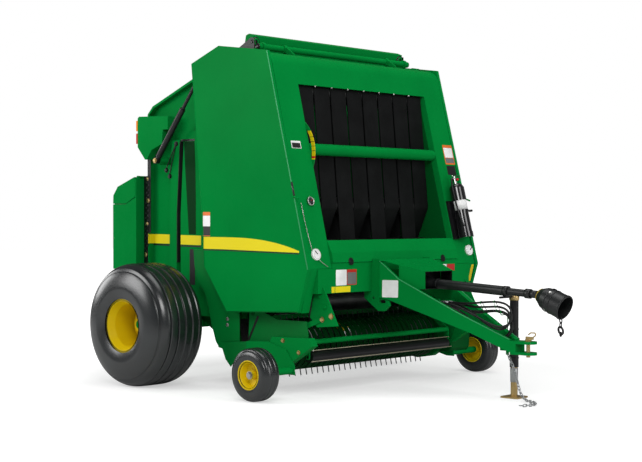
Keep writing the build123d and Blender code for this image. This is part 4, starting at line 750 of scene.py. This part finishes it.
# the left column's lower part leans forward and carries a reflector strip
field("reflector_left", (1.6025, 1.018, 0.905), Y, (0.090, 0.0, 0.339), 0.034, 0.150, "main",
      "corn_yellow_paint", 0.2)
print("blank plates laid")

# %% [markdown]
# ## Bolt rows and pivots
# The top beam carries a bolt between each pair of belts. Zinc bolts hold the gussets, the pickup's
# housing and the cylinders' feet, bright ones the gate's sides, the cylinders' tops and the gauge
# wheels' hubs. A small fender stands behind each gauge wheel.

# %% Bolt rows
BELT_PITCH = 0.196
bolts("belt_guide_bolts", [(on_face(0, 2.425)[0] - 0.012, k * BELT_PITCH, 2.4365) for k in range(-3, 4)],
      -Z, "main", across=0.013, height=0.010)
side_bolts("gusset_bolts_*", 0.905, [(1.628, 0.602), (1.721, 0.631)], "main", "yellow_zinc", 0.026, 0.014)
side_bolts("gusset_nuts_*", 0.905, [(1.66, 0.70), (1.60, 0.78)], "main", "leaf_green_paint", 0.024, 0.012)
side_bolts("housing_bolts_*", 1.000, [(1.300, 0.428), (1.470, 0.345)], "pickup", "yellow_zinc", 0.020, 0.012)
side_bolts("gate_side_bolts_*", GATE_SIDE, [(-0.150, 1.527), (-0.150, 0.98)], "tailgate", "bright_bolt",
           0.020, 0.010)
side_bolts("cylinder_foot_bolt_*", 0.9885, [(-0.240, 1.870)], "tailgate", "yellow_zinc", 0.026, 0.012)
side_bolts("cylinder_top_bolt_*", 0.9945, [(0.360, 2.620)], "main", "bright_bolt", 0.034, 0.012)
side_bolts("gauge_hub_nut_*", 1.450, [(1.391, 0.203)], "pickup", "bright_bolt", 0.036, 0.014)
# the fenders are green in painted half shade
side_plates("gauge_fender_*", [
    (0.566, 0.332), (0.600, 0.372), (0.905, 0.398), (0.905, 0.332), (0.800, 0.272), (0.716, 0.182),
    (0.655, 0.240), (0.618, 0.322)], 1.0005, 1.0085, "pickup", "green_paint_in_half_shade", 0.002)
print("bolt rows set")

# %% [markdown]
# ## Face fittings
# A round gauge on the right column, a thin pull rod from the shield's latch down to the dial,
# and pointers on both dials.

# %% Face fittings
FACE_WAYS = (Y, UP_FACE, OUT_FACE)
gauge = on_face(-0.905, 1.508)
round_piece("gauge_case", [
    (0, 0), (0.036, 0), (0.036, 0.016), (0.033, 0.019), (0.029, 0.019), (0.028, 0.014), (0, 0.014)],
    gauge, FACE_WAYS, "main", "bright_bolt")
round_piece("gauge_face", [(0, 0), (0.0275, 0), (0.0275, 0.0006), (0, 0.0006)],
            gauge + OUT_FACE * 0.0144, FACE_WAYS, "main", "blank_black")
tube("gauge_needle", gauge + OUT_FACE * 0.0165 + np.array([[0, -0.004, 0.004], [0, 0.018, 0.010]]),
     0.0016, "main", "red_plastic", 6)
for name, radius, places in (
        ("pull_rod", 0.0028, [(-1.023, 1.492, 0.016), (-1.012, 1.30, 0.014), (-1.000, 1.130, 0.020)]),
        ("pull_rod_low", 0.0026, [(-0.935, 1.052, 0.020), (-0.885, 1.022, 0.016), (-0.845, 1.002, 0.012)])):
    tube(name, smooth_path([on_face(*place) for place in places]), radius, "main", "bright_bolt", 8)
for side, y, turn in (("right", -0.950, 2.3), ("left", 0.985, 0.8)):
    hub = on_face(y, 1.100, 0.0226)
    tip = hub + 0.036 * (math.cos(turn) * Y + math.sin(turn) * UP_FACE)
    tube(f"dial_pointer_{side}", [hub, (hub + tip) / 2, tip], 0.0065, "main", "blank_black", 10, 0.3)

# %% Latches on the shields' front edges
slot_top = np.array([1.470, 1.079, 1.655])
side_tubes("latch_slot_*", slot_top + np.outer([0, 0.5, 1], [0.032, 0, -0.122]),
           0.010, "shield_*", "blank_black", 8, 0.35)
lever = [(1.498, 1.082, 1.545), (1.520, 1.082, 1.538), (1.545, 1.082, 1.530)]
side_tubes("latch_lever_*", smooth_path(lever), 0.007, "shield_*", "leaf_green_paint", 8)

# %% [markdown]
# ## Hems
# Sheet panels are folded over at the rim, so the edge is round and catches a line of light. A thin bead along
# the edges of the shields and of the tongue plates gives that line; its paint is a lighter green, a painted
# highlight. The shields' bottom bead is green in painted shade.

# %% Hems
HEM_Y = 1.0745
for part, line, finish in (
        ("", [(1.196, 2.684), (1.330, 2.166), (1.480, 1.588), (1.634, 0.990)], "edge_shine"),
        ("_back", [(0.480, 0.991), (0.472, 1.230), (0.327, 2.640)], "leaf_green_paint"),
        # the bottom bead is green in painted shade
        ("_low", [(1.532, 0.664), (0.751, 0.632)], "green_paint_in_shade")):
    side_tubes(f"shield{part}_hem_*", [(x, HEM_Y, z) for x, z in line], 0.0042, "shield_*", finish)
run, rise = np.array([(0.020, 1.040), (0.185, 0.900), (0.675, 0.655), (1.100, 0.465)]).T
right_hem = TONGUE_FOOT + TONGUE_OUT * 0.019 + np.outer(run, TONGUE_WAY) + np.outer(rise, Z)
side_tubes("tongue_hem_*", right_hem * [1, -1, 1], 0.0035, "main", "edge_shine")
print("hems laid")

# %% [markdown]
# ## The extinguisher's trim
# A white blank band, a rubber strap with its knob, a red safety pin and a short hose clipped
# along the bottle. Round bands are profiles carried round the bottle's own tilted axis.

# %% Extinguisher trim
BOTTLE_RADIUS = 0.0621
VALVE = 0.505               # height of the valve along the bottle


def label(name, start, end, first, last):
    """A patch of film round the bottle, between two heights and two angles."""
    t = np.linspace(first, last, 65)
    ring = np.outer(np.cos(t), Y) + np.outer(np.sin(t), OUT_FACE)
    outer = BOTTLE_RADIUS + 0.0008
    rows = [(BOTTLE_RADIUS, start), (outer, start), (outer, end), (BOTTLE_RADIUS, end)]
    grid = np.stack([BOTTLE + r * ring + UP_FACE * h for r, h in rows], axis=1)
    faces = grid_faces(65, 4, close_columns=True) + [(0, 1, 2, 3), (259, 258, 257, 256)]
    make_piece(name, grid, faces, "main", "blank_white")


def by_bottle(height, out):
    """A place at a height along the bottle's axis, moved off it."""
    return BOTTLE + UP_FACE * height + out


label("bottle_label", 0.236, 0.318, -0.2, np.pi + 0.2)
label("bottle_label_low", 0.19, 0.236, 0.2, 1.15)
knob = by_bottle(0.224, Y * 0.0594 + OUT_FACE * 0.036)
tube("strap_knob", knob + np.array([(0, 0, 0), (0.006, 0.018, 0.0), (0.010, 0.036, 0.002)]),
     0.010, "main", "blank_black")
tube("safety_pin", by_bottle(VALVE, np.outer([0.016, 0.030, 0.036], OUT_FACE)),
     0.011, "main", "red_plastic", 12)
lead = [(VALVE, (0, -0.015, 0)), (VALVE, (0.01, -0.055, 0.012)), (0.44, (0.02, -0.078, 0)),
        (0.30, (0.02, -0.073, 0)), (0.18, (0.03, -0.066, 0)), (0.10, (0.045, -0.058, 0))]
tube("spray_nozzle", smooth_path([by_bottle(*place) for place in lead]), 0.0075, "main", "hose_rubber")
print("extinguisher trimmed")

# %% [markdown]
# ## Jack and hitch trim
# A galvanised sleeve round the leg, a zinc cap and a clamp at the top, two dark bands, and a grip
# through the hitch pin's top.

# %% Jack trim
low, high = box_of("jack_leg")
jack = (low + high) / 2 * (X + Y)
round_piece("jack_sleeve", [(0.0272, 0.120), (0.0300, 0.122), (0.0300, 0.228), (0.0272, 0.230)],
            jack, ROUND_Z, "jack_leg", "galvanised")
round_piece("jack_cap", [
    (0, 0.7905), (0.040, 0.7905), (0.042, 0.794), (0.042, 0.806), (0.030, 0.812), (0.012, 0.814),
    (0, 0.814)], jack, ROUND_Z, "main", "yellow_zinc")
round_piece("jack_clamp", [
    (0.0343, 0.748), (0.0385, 0.750), (0.0395, 0.768), (0.0385, 0.786), (0.0343, 0.788)],
    jack, ROUND_Z, "main", "yellow_zinc")
for k, z in enumerate((0.30, 0.52)):
    band = [(0.0342, z), (0.0362, z + 0.001), (0.0362, z + 0.012), (0.0342, z + 0.013)]
    round_piece(f"jack_band_{k}", band, jack, ROUND_Z, "main", "chassis_black_paint")
pin = 2.9 * X
pin_top = box_of("hitch_pin")[1][2]
grip = smooth_path(pin + np.array([(0.040, 0, 0.485), (0.062, 0, 0.500), (0.060, 0, 0.520),
                                   (0.030, 0, 0.522), (0.0, 0, 0.505)]))
grip[:, 2] = np.minimum(grip[:, 2], pin_top + 0.03)
tube("hitch_pin_grip", grip, 0.005, "main", "yellow_zinc")
print("jack and hitch trimmed")

# %% [markdown]
# ## The driveline guard's ribs
# Guard tubes end in moulded collars, the bell has ridges that stiffen it, bright screws hold
# it, and a short chain of links at its lower lip is there to hang the driveline up.

# %% Driveline trim
def collar(name, foot, ways, inner, outer, start, end, body, finish="guard_plastic"):
    """A closed collar about a shaft, its corners taken off by a quarter of its height."""
    ease = (outer - inner) / 4
    profile = [(inner, start), (outer - ease, start), (outer, start + ease), (outer, end - ease),
               (outer - ease, end), (inner, end)]
    round_piece(name, profile, foot, ways, body, finish, 48, closed=True)


def tilted(degrees):
    """A way forward that is tilted out of the level, in the middle plane."""
    return math.cos(math.radians(degrees)) * X + math.sin(math.radians(degrees)) * Z


shaft_way, bell_way = tilted(-3.1), tilted(-22)
shaft_ways = (Y, np.cross(shaft_way, Y), shaft_way)
over = np.cross(bell_way, Y)
bell_ways = (Y, over, bell_way)
shaft_foot = np.array([1.88, 0, 0.868])
tube_run, inner_run = 0.84 / shaft_way[0], 1.095 / shaft_way[0]     # how far the two tubes reach
joint = shaft_foot + shaft_way * (inner_run + 0.030)
for name, body, inner, outer, start, end in (
        ("tube_collar_0", "driveline", 0.0374, 0.0416, 0.150, 0.168),
        ("tube_collar_1", "driveline", 0.0374, 0.0406, tube_run - 0.040, tube_run - 0.002),
        ("shaft_sleeve", "driveline_inner", 0.0279, 0.0372, inner_run - 0.098, inner_run - 0.050),
        ("joint_boot", "driveline_inner", 0.0165, 0.0295, inner_run - 0.052, inner_run + 0.0065)):
    collar(name, shaft_foot, shaft_ways, inner, outer, start, end, body)
for k, (inner, start) in enumerate(((0.0892, 0.090), (0.0902, 0.130), (0.0928, 0.222))):
    collar(f"bell_rib_{k}", joint, bell_ways, inner, inner + 0.0045, start, start + 0.010, "driveline_cover")
collar("bell_collar", joint, bell_ways, 0.0445, 0.0520, -0.004, 0.010, "driveline_cover", "ring_yellow")
for k, turn in enumerate((-2.4, -0.9, 0.9, 2.4)):
    reach = -math.cos(turn) * Y + math.sin(turn) * over
    bolts(f"bell_screw_{k}", [joint + bell_way * 0.106 + reach * 0.0905], reach, "driveline_cover",
          across=0.013, height=0.006)
lip = joint + bell_way * 0.233 - over * 0.091 * (1 if over[2] > 0 else -1)
turn = np.linspace(0, 2 * np.pi, 29)[:, None]
for k, (way, half_width, half_height, drop, radius) in enumerate((
        (bell_way, 0.011, 0.021, 0.010, 0.0045), (Y, 0.012, 0.022, 0.044, 0.0045),
        (bell_way, 0.022, 0.026, 0.084, 0.0085), (Y, 0.011, 0.015, 0.112, 0.0050))):
    link = lip + way * half_width * np.cos(turn) + Z * (half_height * np.sin(turn) - drop)
    tube(f"bell_hook_{k}", link, radius, "driveline_cover", "chassis_black_paint", 8, slot="black_plastic")
print("driveline trimmed")

# %% [markdown]
# ## Cover of the pickup's drive
# The drive of the pickup's reel sits at its left end, in a closed cover ahead of the wheel arm.
# A lip a little wider than the cover runs round it at each end.

# %% Cover of the pickup's drive
cover = np.array([(1.262, 0.226), (1.285, 0.206), (1.420, 0.214), (1.446, 0.242), (1.454, 0.400),
                  (1.432, 0.428), (1.290, 0.438), (1.262, 0.412)])
cover_middle, lip_size = np.array([1.355, 0.32]), np.array([1.03, 1.025])
# the cover and its lips are green in painted shade
plate("drive_cover", cover, 0.9405, 1.205, "pickup", "green_paint_in_shade", 0.006)
for k, y in enumerate((0.960, 1.190)):
    plate(f"drive_cover_lip_{k}", cover_middle + (cover - cover_middle) * lip_size, y - 0.004, y + 0.004,
          "pickup", "green_paint_in_shade", 0.002)

# %% [markdown]
# ## Fittings and ties of the upper hoses
# The two upper hoses have their own fittings on the rack, and a strap round all four holds the
# bundle together. The strap's line is the hull of the hoses' circles at that place.

# %% Fittings and ties of the upper hoses
RACK_FRONT = 2.064          # front face of the rack's plate
TIE_REACH = 0.0105          # from a hose's middle to the middle of the strap
for k, (y, z, length) in enumerate(((-0.040, 0.712, 0.043), (0.016, 0.716, 0.043),
                                    (-0.012, 0.716, 0.094), (0.042, 0.716, 0.094))):
    run = [(RACK_FRONT - 0.001 + length * share, y, z) for share in (0.0, 0.5, 1.0)]
    tube(f"hose_fitting_{k}", run, 0.0102, "main", "galvanised", 14)
around = np.linspace(0, 2 * np.pi, 73)
ways = np.c_[np.cos(around), np.sin(around)]
for k, (x, middles) in enumerate((
        (2.490, [(0.007, 0.663), (0.032, 0.655), (-0.038, 0.731), (-0.007, 0.695)]),
        (2.620, [(-0.001, 0.671), (0.023, 0.663), (-0.042, 0.741), (-0.018, 0.704)]))):
    middles = np.array(middles)
    outer = middles[(ways @ middles.T).argmax(axis=1)] + TIE_REACH * ways
    tube(f"hose_tie_{k}", np.c_[np.full(len(outer), x), outer], 0.0022, "main", "leaf_green_paint", 8)
print("hoses tied")

# %% [markdown]
# ## Gate trim
# Two thin lock rods on each side, a row of small sprockets with their chain in the channel ahead
# of the net box, and reflectors on the rear.

# %% Lock rods
rod_top = (-0.111, 0.868, 2.009)
for k, rod_foot in enumerate(((-0.237, 0.868, 1.797), (-0.194, 0.868, 1.743))):
    side_tubes(f"lock_rod_*_{k}", np.linspace(rod_top, rod_foot, 8), 0.0045, "tailgate",
               "chassis_black_paint", 8)
side_bolts("lock_rod_ends_*", 0.860, [(-0.237, 1.790), (-0.194, 1.736), (-0.111, 2.012)],
           "tailgate", "chassis_black_paint", 0.026, 0.014)


# %% Chain channel
TEETH, SPROCKET_THICK = 9, 0.006


def sprocket(name, centre, radius, body):
    """A toothed disc standing across y: radius * (1 + 0.10 cos(teeth * t)) at both faces."""
    t = np.linspace(0, 2 * np.pi, TEETH * 6, endpoint=False)
    r = radius * (1 + 0.10 * np.cos(TEETH * t))
    flat = np.outer(r * np.cos(t), X) + np.outer(r * np.sin(t), Z)
    half = SPROCKET_THICK / 2 * Y
    rims = [centre + flat * size + end for size, end in ((0, -half), (1, -half), (1, half), (0, half))]
    make_piece(name, np.stack(rims, axis=1), grid_faces(len(t), 4, close_rows=True), body,
               "yellow_zinc", "plain_steel")


# a black sheet behind the sprockets and chain, painted shade of the deep channel
side_plates("chain_cover_*", [
    (-0.536, 0.990), (-0.484, 0.990), (-0.484, 1.248), (-0.446, 1.256), (-0.446, 1.900), (-0.462, 1.960),
    (-0.488, 1.960), (-0.488, 1.746), (-0.536, 1.740)], 0.8605, 0.8630, "tailgate", "chassis_black_paint")
for side, sign in SIDES:
    for k, (x, z, radius) in enumerate(((-0.508, 1.060, 0.020), (-0.490, 1.330, 0.016),
                                        (-0.474, 1.530, 0.020), (-0.482, 1.720, 0.016))):
        sprocket(f"sprocket_{side}_{k}", np.array([x, sign * 0.868, z]), radius, "tailgate")
share = np.linspace(0, 1, 30)
for k, shift in enumerate((-0.014, 0.014)):
    links = np.c_[-0.508 + 0.030 * share + shift, 1.070 + 0.640 * share]
    side_bolts(f"chain_run_*_{k}", 0.8630, links[k::2], "tailgate", "steel_in_painted_shade", 0.013, 0.008)
side_plates("gate_seal_*", [
    (-0.1092, 1.00), (-0.1092, 1.42), (-0.070038, 2.03), (-0.064838, 2.03), (-0.104, 1.42), (-0.104, 1.00)],
    0.803, 0.8585, "tailgate", "hose_rubber")
print("gate trimmed")

# %% Rear reflectors
rear = box_of("net_box")[0][0]
for side, sign in SIDES:
    field(f"rear_reflector_{side}", (rear, sign * 0.86, 1.02), -Y, Z, 0.05, 0.15, "tailgate",
          "red_plastic", 0.15, slot="lamp_lens")
    field(f"rear_amber_{side}", (rear, sign * 0.86, 1.22), -Y, Z, 0.05, 0.15, "tailgate",
          "corn_yellow_paint", 0.15)
print("rear fitted")

# %% [markdown]
# ## Aprons, seals and the roof
# Below each shield a green apron closes the side down to the pickup, with dark slots and seals where sheets
# part; the apron is green in painted half shade, and black sheets behind and beside it and a dark green field
# in the recess by the gate are painted shade. On the roof a black pivot and end caps finish the bar and the
# tube.

# %% Aprons and seals
APRON_SIDE = 0.984          # inner face of the aprons
# the aprons are green in painted half shade, as they lie behind the tyre
side_plates("side_apron_*", [
    (0.250, 1.120), (0.262, 0.985), (0.300, 0.852), (0.386, 0.775), (0.434, 0.643), (0.470, 0.506),
    (0.520, 0.375), (0.554, 0.333), (0.613, 0.322), (0.700, 0.306), (0.800, 0.362), (0.800, 0.980),
    (0.640, 1.120)], APRON_SIDE, 0.990, "main", "green_paint_in_half_shade", 0.002)
side_bolts("apron_bolts_*", 0.990, [(0.661, 0.564), (0.661, 0.516)], "main", "bright_bolt", 0.020, 0.008)
# a black sheet on the chamber wall behind each apron's low part, painted shade of the space behind it
side_plates("apron_back_*", [(0.560, 0.640), (0.800, 0.640), (0.800, 0.325), (0.640, 0.330)],
            CHAMBER_SIDE, 0.797, "main", "blank_black")
side_plates("column_slot_*", [(1.422, 0.795), (1.465, 0.788), (1.454, 0.694), (1.420, 0.583), (1.373, 0.581)],
            CHAMBER_SIDE, 0.796, "main", "blank_black")
# a dark green field on the panel beside the chamber, painted shade of the recess between the gate and the
# shield
side_plates("recess_field_*", [
    (-0.016, 2.028), (-0.002, 1.830), (0.022, 1.533), (0.046, 1.242), (0.134, 1.240), (0.134, 1.532),
    (0.128, 1.827), (0.117, 2.026)], 0.8583, 0.8590, "main", "green_paint_in_deep_shade")
side_plates("pickup_slot_*", [(0.952, 0.602), (0.975, 0.595), (0.864, 0.402), (0.842, 0.402)],
            0.9382, 0.9395, "pickup", "chassis_black_paint")
for side, sign in SIDES:
    for k, x in enumerate((0.560, 0.680)):
        near, far = sorted((sign * PANEL_SIDE, sign * APRON_SIDE))
        # the stays are green in painted shade
        box_plate(f"apron_stay_{side}_{k}", (x, near, 0.600), (x + 0.006, far, 0.950),
                  "main", "green_paint_in_shade")
    film(f"recess_line_{side}", [-0.055, 0.121], [2.030, 2.028], [2.048, 2.046], sign * PANEL_SIDE,
         "main", "chassis_black_paint")
    # a black strip on the panel next to the apron's edge, painted shade of the gap behind the apron
    film(f"apron_gap_shade_{side}", [0.055, 0.124], [0.815, 0.815], [1.118, 1.116], sign * PANEL_SIDE,
         "main", "chassis_black_paint")
    bolts(f"sill_plug_{side}", [(1.6365, sign * 0.582, 1.042)], (0.98, 0.0, 0.20), "main",
          "chassis_black_paint", 0.036, 0.004)

# %% Inside of the gearbox cover
# The cover narrows forward, so its black lining, painted shade inside the cover, is four rings, each worked
# out for a share of the length.
rings = []
for share, inset in ((0.46, 0.003), (0.985, 0.003), (0.985, 0.005), (0.46, 0.005)):
    half_y, half_z = 0.337 - 0.165 * share - inset, 0.118 - 0.047 * share - inset
    middle = 0.925 - 0.036 * share
    rings.append([(1.713 + 0.338 * share, a * half_y, middle + b * half_z)
                  for a, b in ((-1, -1), (1, -1), (1, 1), (-1, 1))])
make_piece("cover_shade_lining", rings, grid_faces(4, 4, close_rows=True, close_columns=True), "main",
           "blank_black", smooth=False)
# a black back sheet closes the cover, painted shade behind the driveline's foot
box_plate("cover_shade_back", (1.866, -0.252, 0.818), (1.869, 0.252, 1.000), "main", "blank_black", 0.001)
bolts("cover_bolts", [(1.869, y, z) for y, z in ((-0.175, 0.950), (-0.195, 0.922), (-0.180, 0.890))], X,
      "main", across=0.018, height=0.010)

# %% Roof trim
box_plate("roof_seal", (0.951, -0.860, 2.682), (0.955, 0.860, 2.7235), "main", "leaf_green_paint", 0.001)
side_plates("roof_block_*", [(0.735, 2.752), (0.878, 2.826), (0.914, 2.818), (0.914, 2.700), (0.800, 2.690)],
            0.9305, 0.9345, "main", "blank_black")
for side, sign in SIDES:
    pivot = (0, sign * 0.900, 2.790)
    round_piece(f"roof_pivot_{side}", [(0, 0.880), (0.038, 0.880), (0.038, 0.9015), (0, 0.9015)],
                pivot, ROUND_X, "main", "chassis_black_paint", 32)
    round_piece(f"roof_pivot_ring_{side}",
                [(0.016, 0.9010), (0.028, 0.9010), (0.028, 0.9055), (0.016, 0.9055), (0.016, 0.9010)],
                pivot, ROUND_X, "main", "leaf_green_paint", 32)
    cap = [(0, -0.0015), (0.025, -0.0015), (0.025, 0.006), (0, 0.006)]
    round_piece(f"roof_tube_cap_{side}", [(r, sign * h) for r, h in cap], (0.953, sign * 0.930, 2.748),
                ROUND_Y, "main", "chassis_black_paint", 32)

# %% Strips behind the lid's seam and along the wind guard
for name, seal_low, seal_high in (
        ("lid_seal_right", (-0.846, -0.9412, 1.486), (-0.660, -0.9375, 1.524)),
        ("lid_seal_left", (-0.846, 0.9375, 1.486), (-0.660, 0.9412, 1.524)),
        ("lid_seal_rear", (-0.8465, -0.937, 1.486), (-0.8435, 0.937, 1.504))):
    box_plate(name, seal_low, seal_high, "tailgate", "blank_black", 0.0005)
low, high = box_of("wind_roller")
for k, (ahead, rise) in enumerate(((0.020, 0.052), (0.048, -0.030))):
    middle = (low + high) / 2 * (X + Z) + ahead * X + rise * Z
    tube(f"guard_rod_{k}", middle + np.outer((-0.884, 0.0, 0.884), Y), 0.003, "wind_guard", "pale_rod", 8)
print("aprons, seals and roof trimmed")

# %% [markdown]
# ## Floor, backdrop and light
# A plain pale studio: the floor shows white to the camera and keeps the machine's shadow, soft
# lamps stand to the front and above, and a pale sky fills the rest.

# %% Floor and backdrop
FLOOR_REACH = 40.0          # metres from the middle to the floor's edges
mesh = bpy.data.meshes.new("studio_floor")
mesh.from_pydata([(a * FLOOR_REACH, b * FLOOR_REACH, 0) for a, b in ((-1, -1), (1, -1), (1, 1), (-1, 1))],
                 [], [(0, 1, 2, 3)])
floor = bpy.data.objects.new("studio_floor", mesh)
bpy.context.scene.collection.objects.link(floor)
tree, shader = new_finish("studio_floor_paint", (0.62, 0.62, 0.62), 0.9, specular=0.0)
floor.data.materials.append(finish_of("studio_floor_paint"))
# the camera sees the floor lit up, more so away from the machine, other rays see plain grey
far = add(tree, "ShaderNodeVectorMath", {0: object_place(tree)})
far.operation = "LENGTH"
lift = add(tree, "ShaderNodeEmission", {
    "Color": WHITE, "Strength": remap(tree, far.outputs["Value"], 0.50, 1.0, 2.2, 6.5)})
both = add(tree, "ShaderNodeAddShader", {0: shader.outputs["BSDF"], 1: lift.outputs["Emission"]})
rays = add(tree, "ShaderNodeLightPath").outputs
choose = add(tree, "ShaderNodeMixShader", {
    "Fac": rays["Is Camera Ray"], 1: shader.outputs["BSDF"], 2: both.outputs["Shader"]})
out = next(n for n in tree.nodes if n.type == "OUTPUT_MATERIAL")
tree.links.new(choose.outputs["Shader"], out.inputs["Surface"])

# %% Sky
world = bpy.data.worlds.new("studio_sky")
bpy.context.scene.world = world
world.use_nodes = True
tree = world.node_tree
tree.nodes.clear()
rays = add(tree, "ShaderNodeLightPath").outputs
plain = add(tree, "ShaderNodeBackground", {
    "Color": WHITE, "Strength": remap(tree, rays["Is Glossy Ray"], 0.42, 0.10)})
bright = add(tree, "ShaderNodeBackground", {"Color": WHITE, "Strength": 1.0})
direct = add(tree, "ShaderNodeMath", {0: rays["Is Camera Ray"], 1: rays["Is Transmission Ray"]})
direct.operation = "MAXIMUM"
choose = add(tree, "ShaderNodeMixShader", {
    "Fac": direct.outputs["Value"], 1: plain.outputs["Background"], 2: bright.outputs["Background"]})
add(tree, "ShaderNodeOutputWorld", {"Surface": choose.outputs["Shader"]})


# %% Lamps
def lamp(name, place, aim, size, power):
    """A square soft lamp at a place, turned to a point."""
    data = bpy.data.lights.new(name, "AREA")
    data.size = size
    data.energy = power
    light = bpy.data.objects.new(name, data)
    light.location = place
    light.rotation_euler = (Vector(aim) - Vector(place)).to_track_quat("-Z", "Y").to_euler()
    bpy.context.scene.collection.objects.link(light)


lamp("key", (6.5, -7.5, 6.5), (0, 0, 1.2), 4.0, 430)
lamp("side_fill", (-6.0, -8.0, 4.4), (-0.5, 0, 1.2), 4.0, 290)
lamp("rear_rim", (-9.0, -2.8, 2.6), (-1.2, -1.2, 0.9), 2.6, 110)
lamp("front_fill", (9.0, 1.5, 3.5), (0.5, 0, 1.0), 4.0, 170)
lamp("top", (0, 0, 8.0), (0, 0, 0), 5.0, 190)
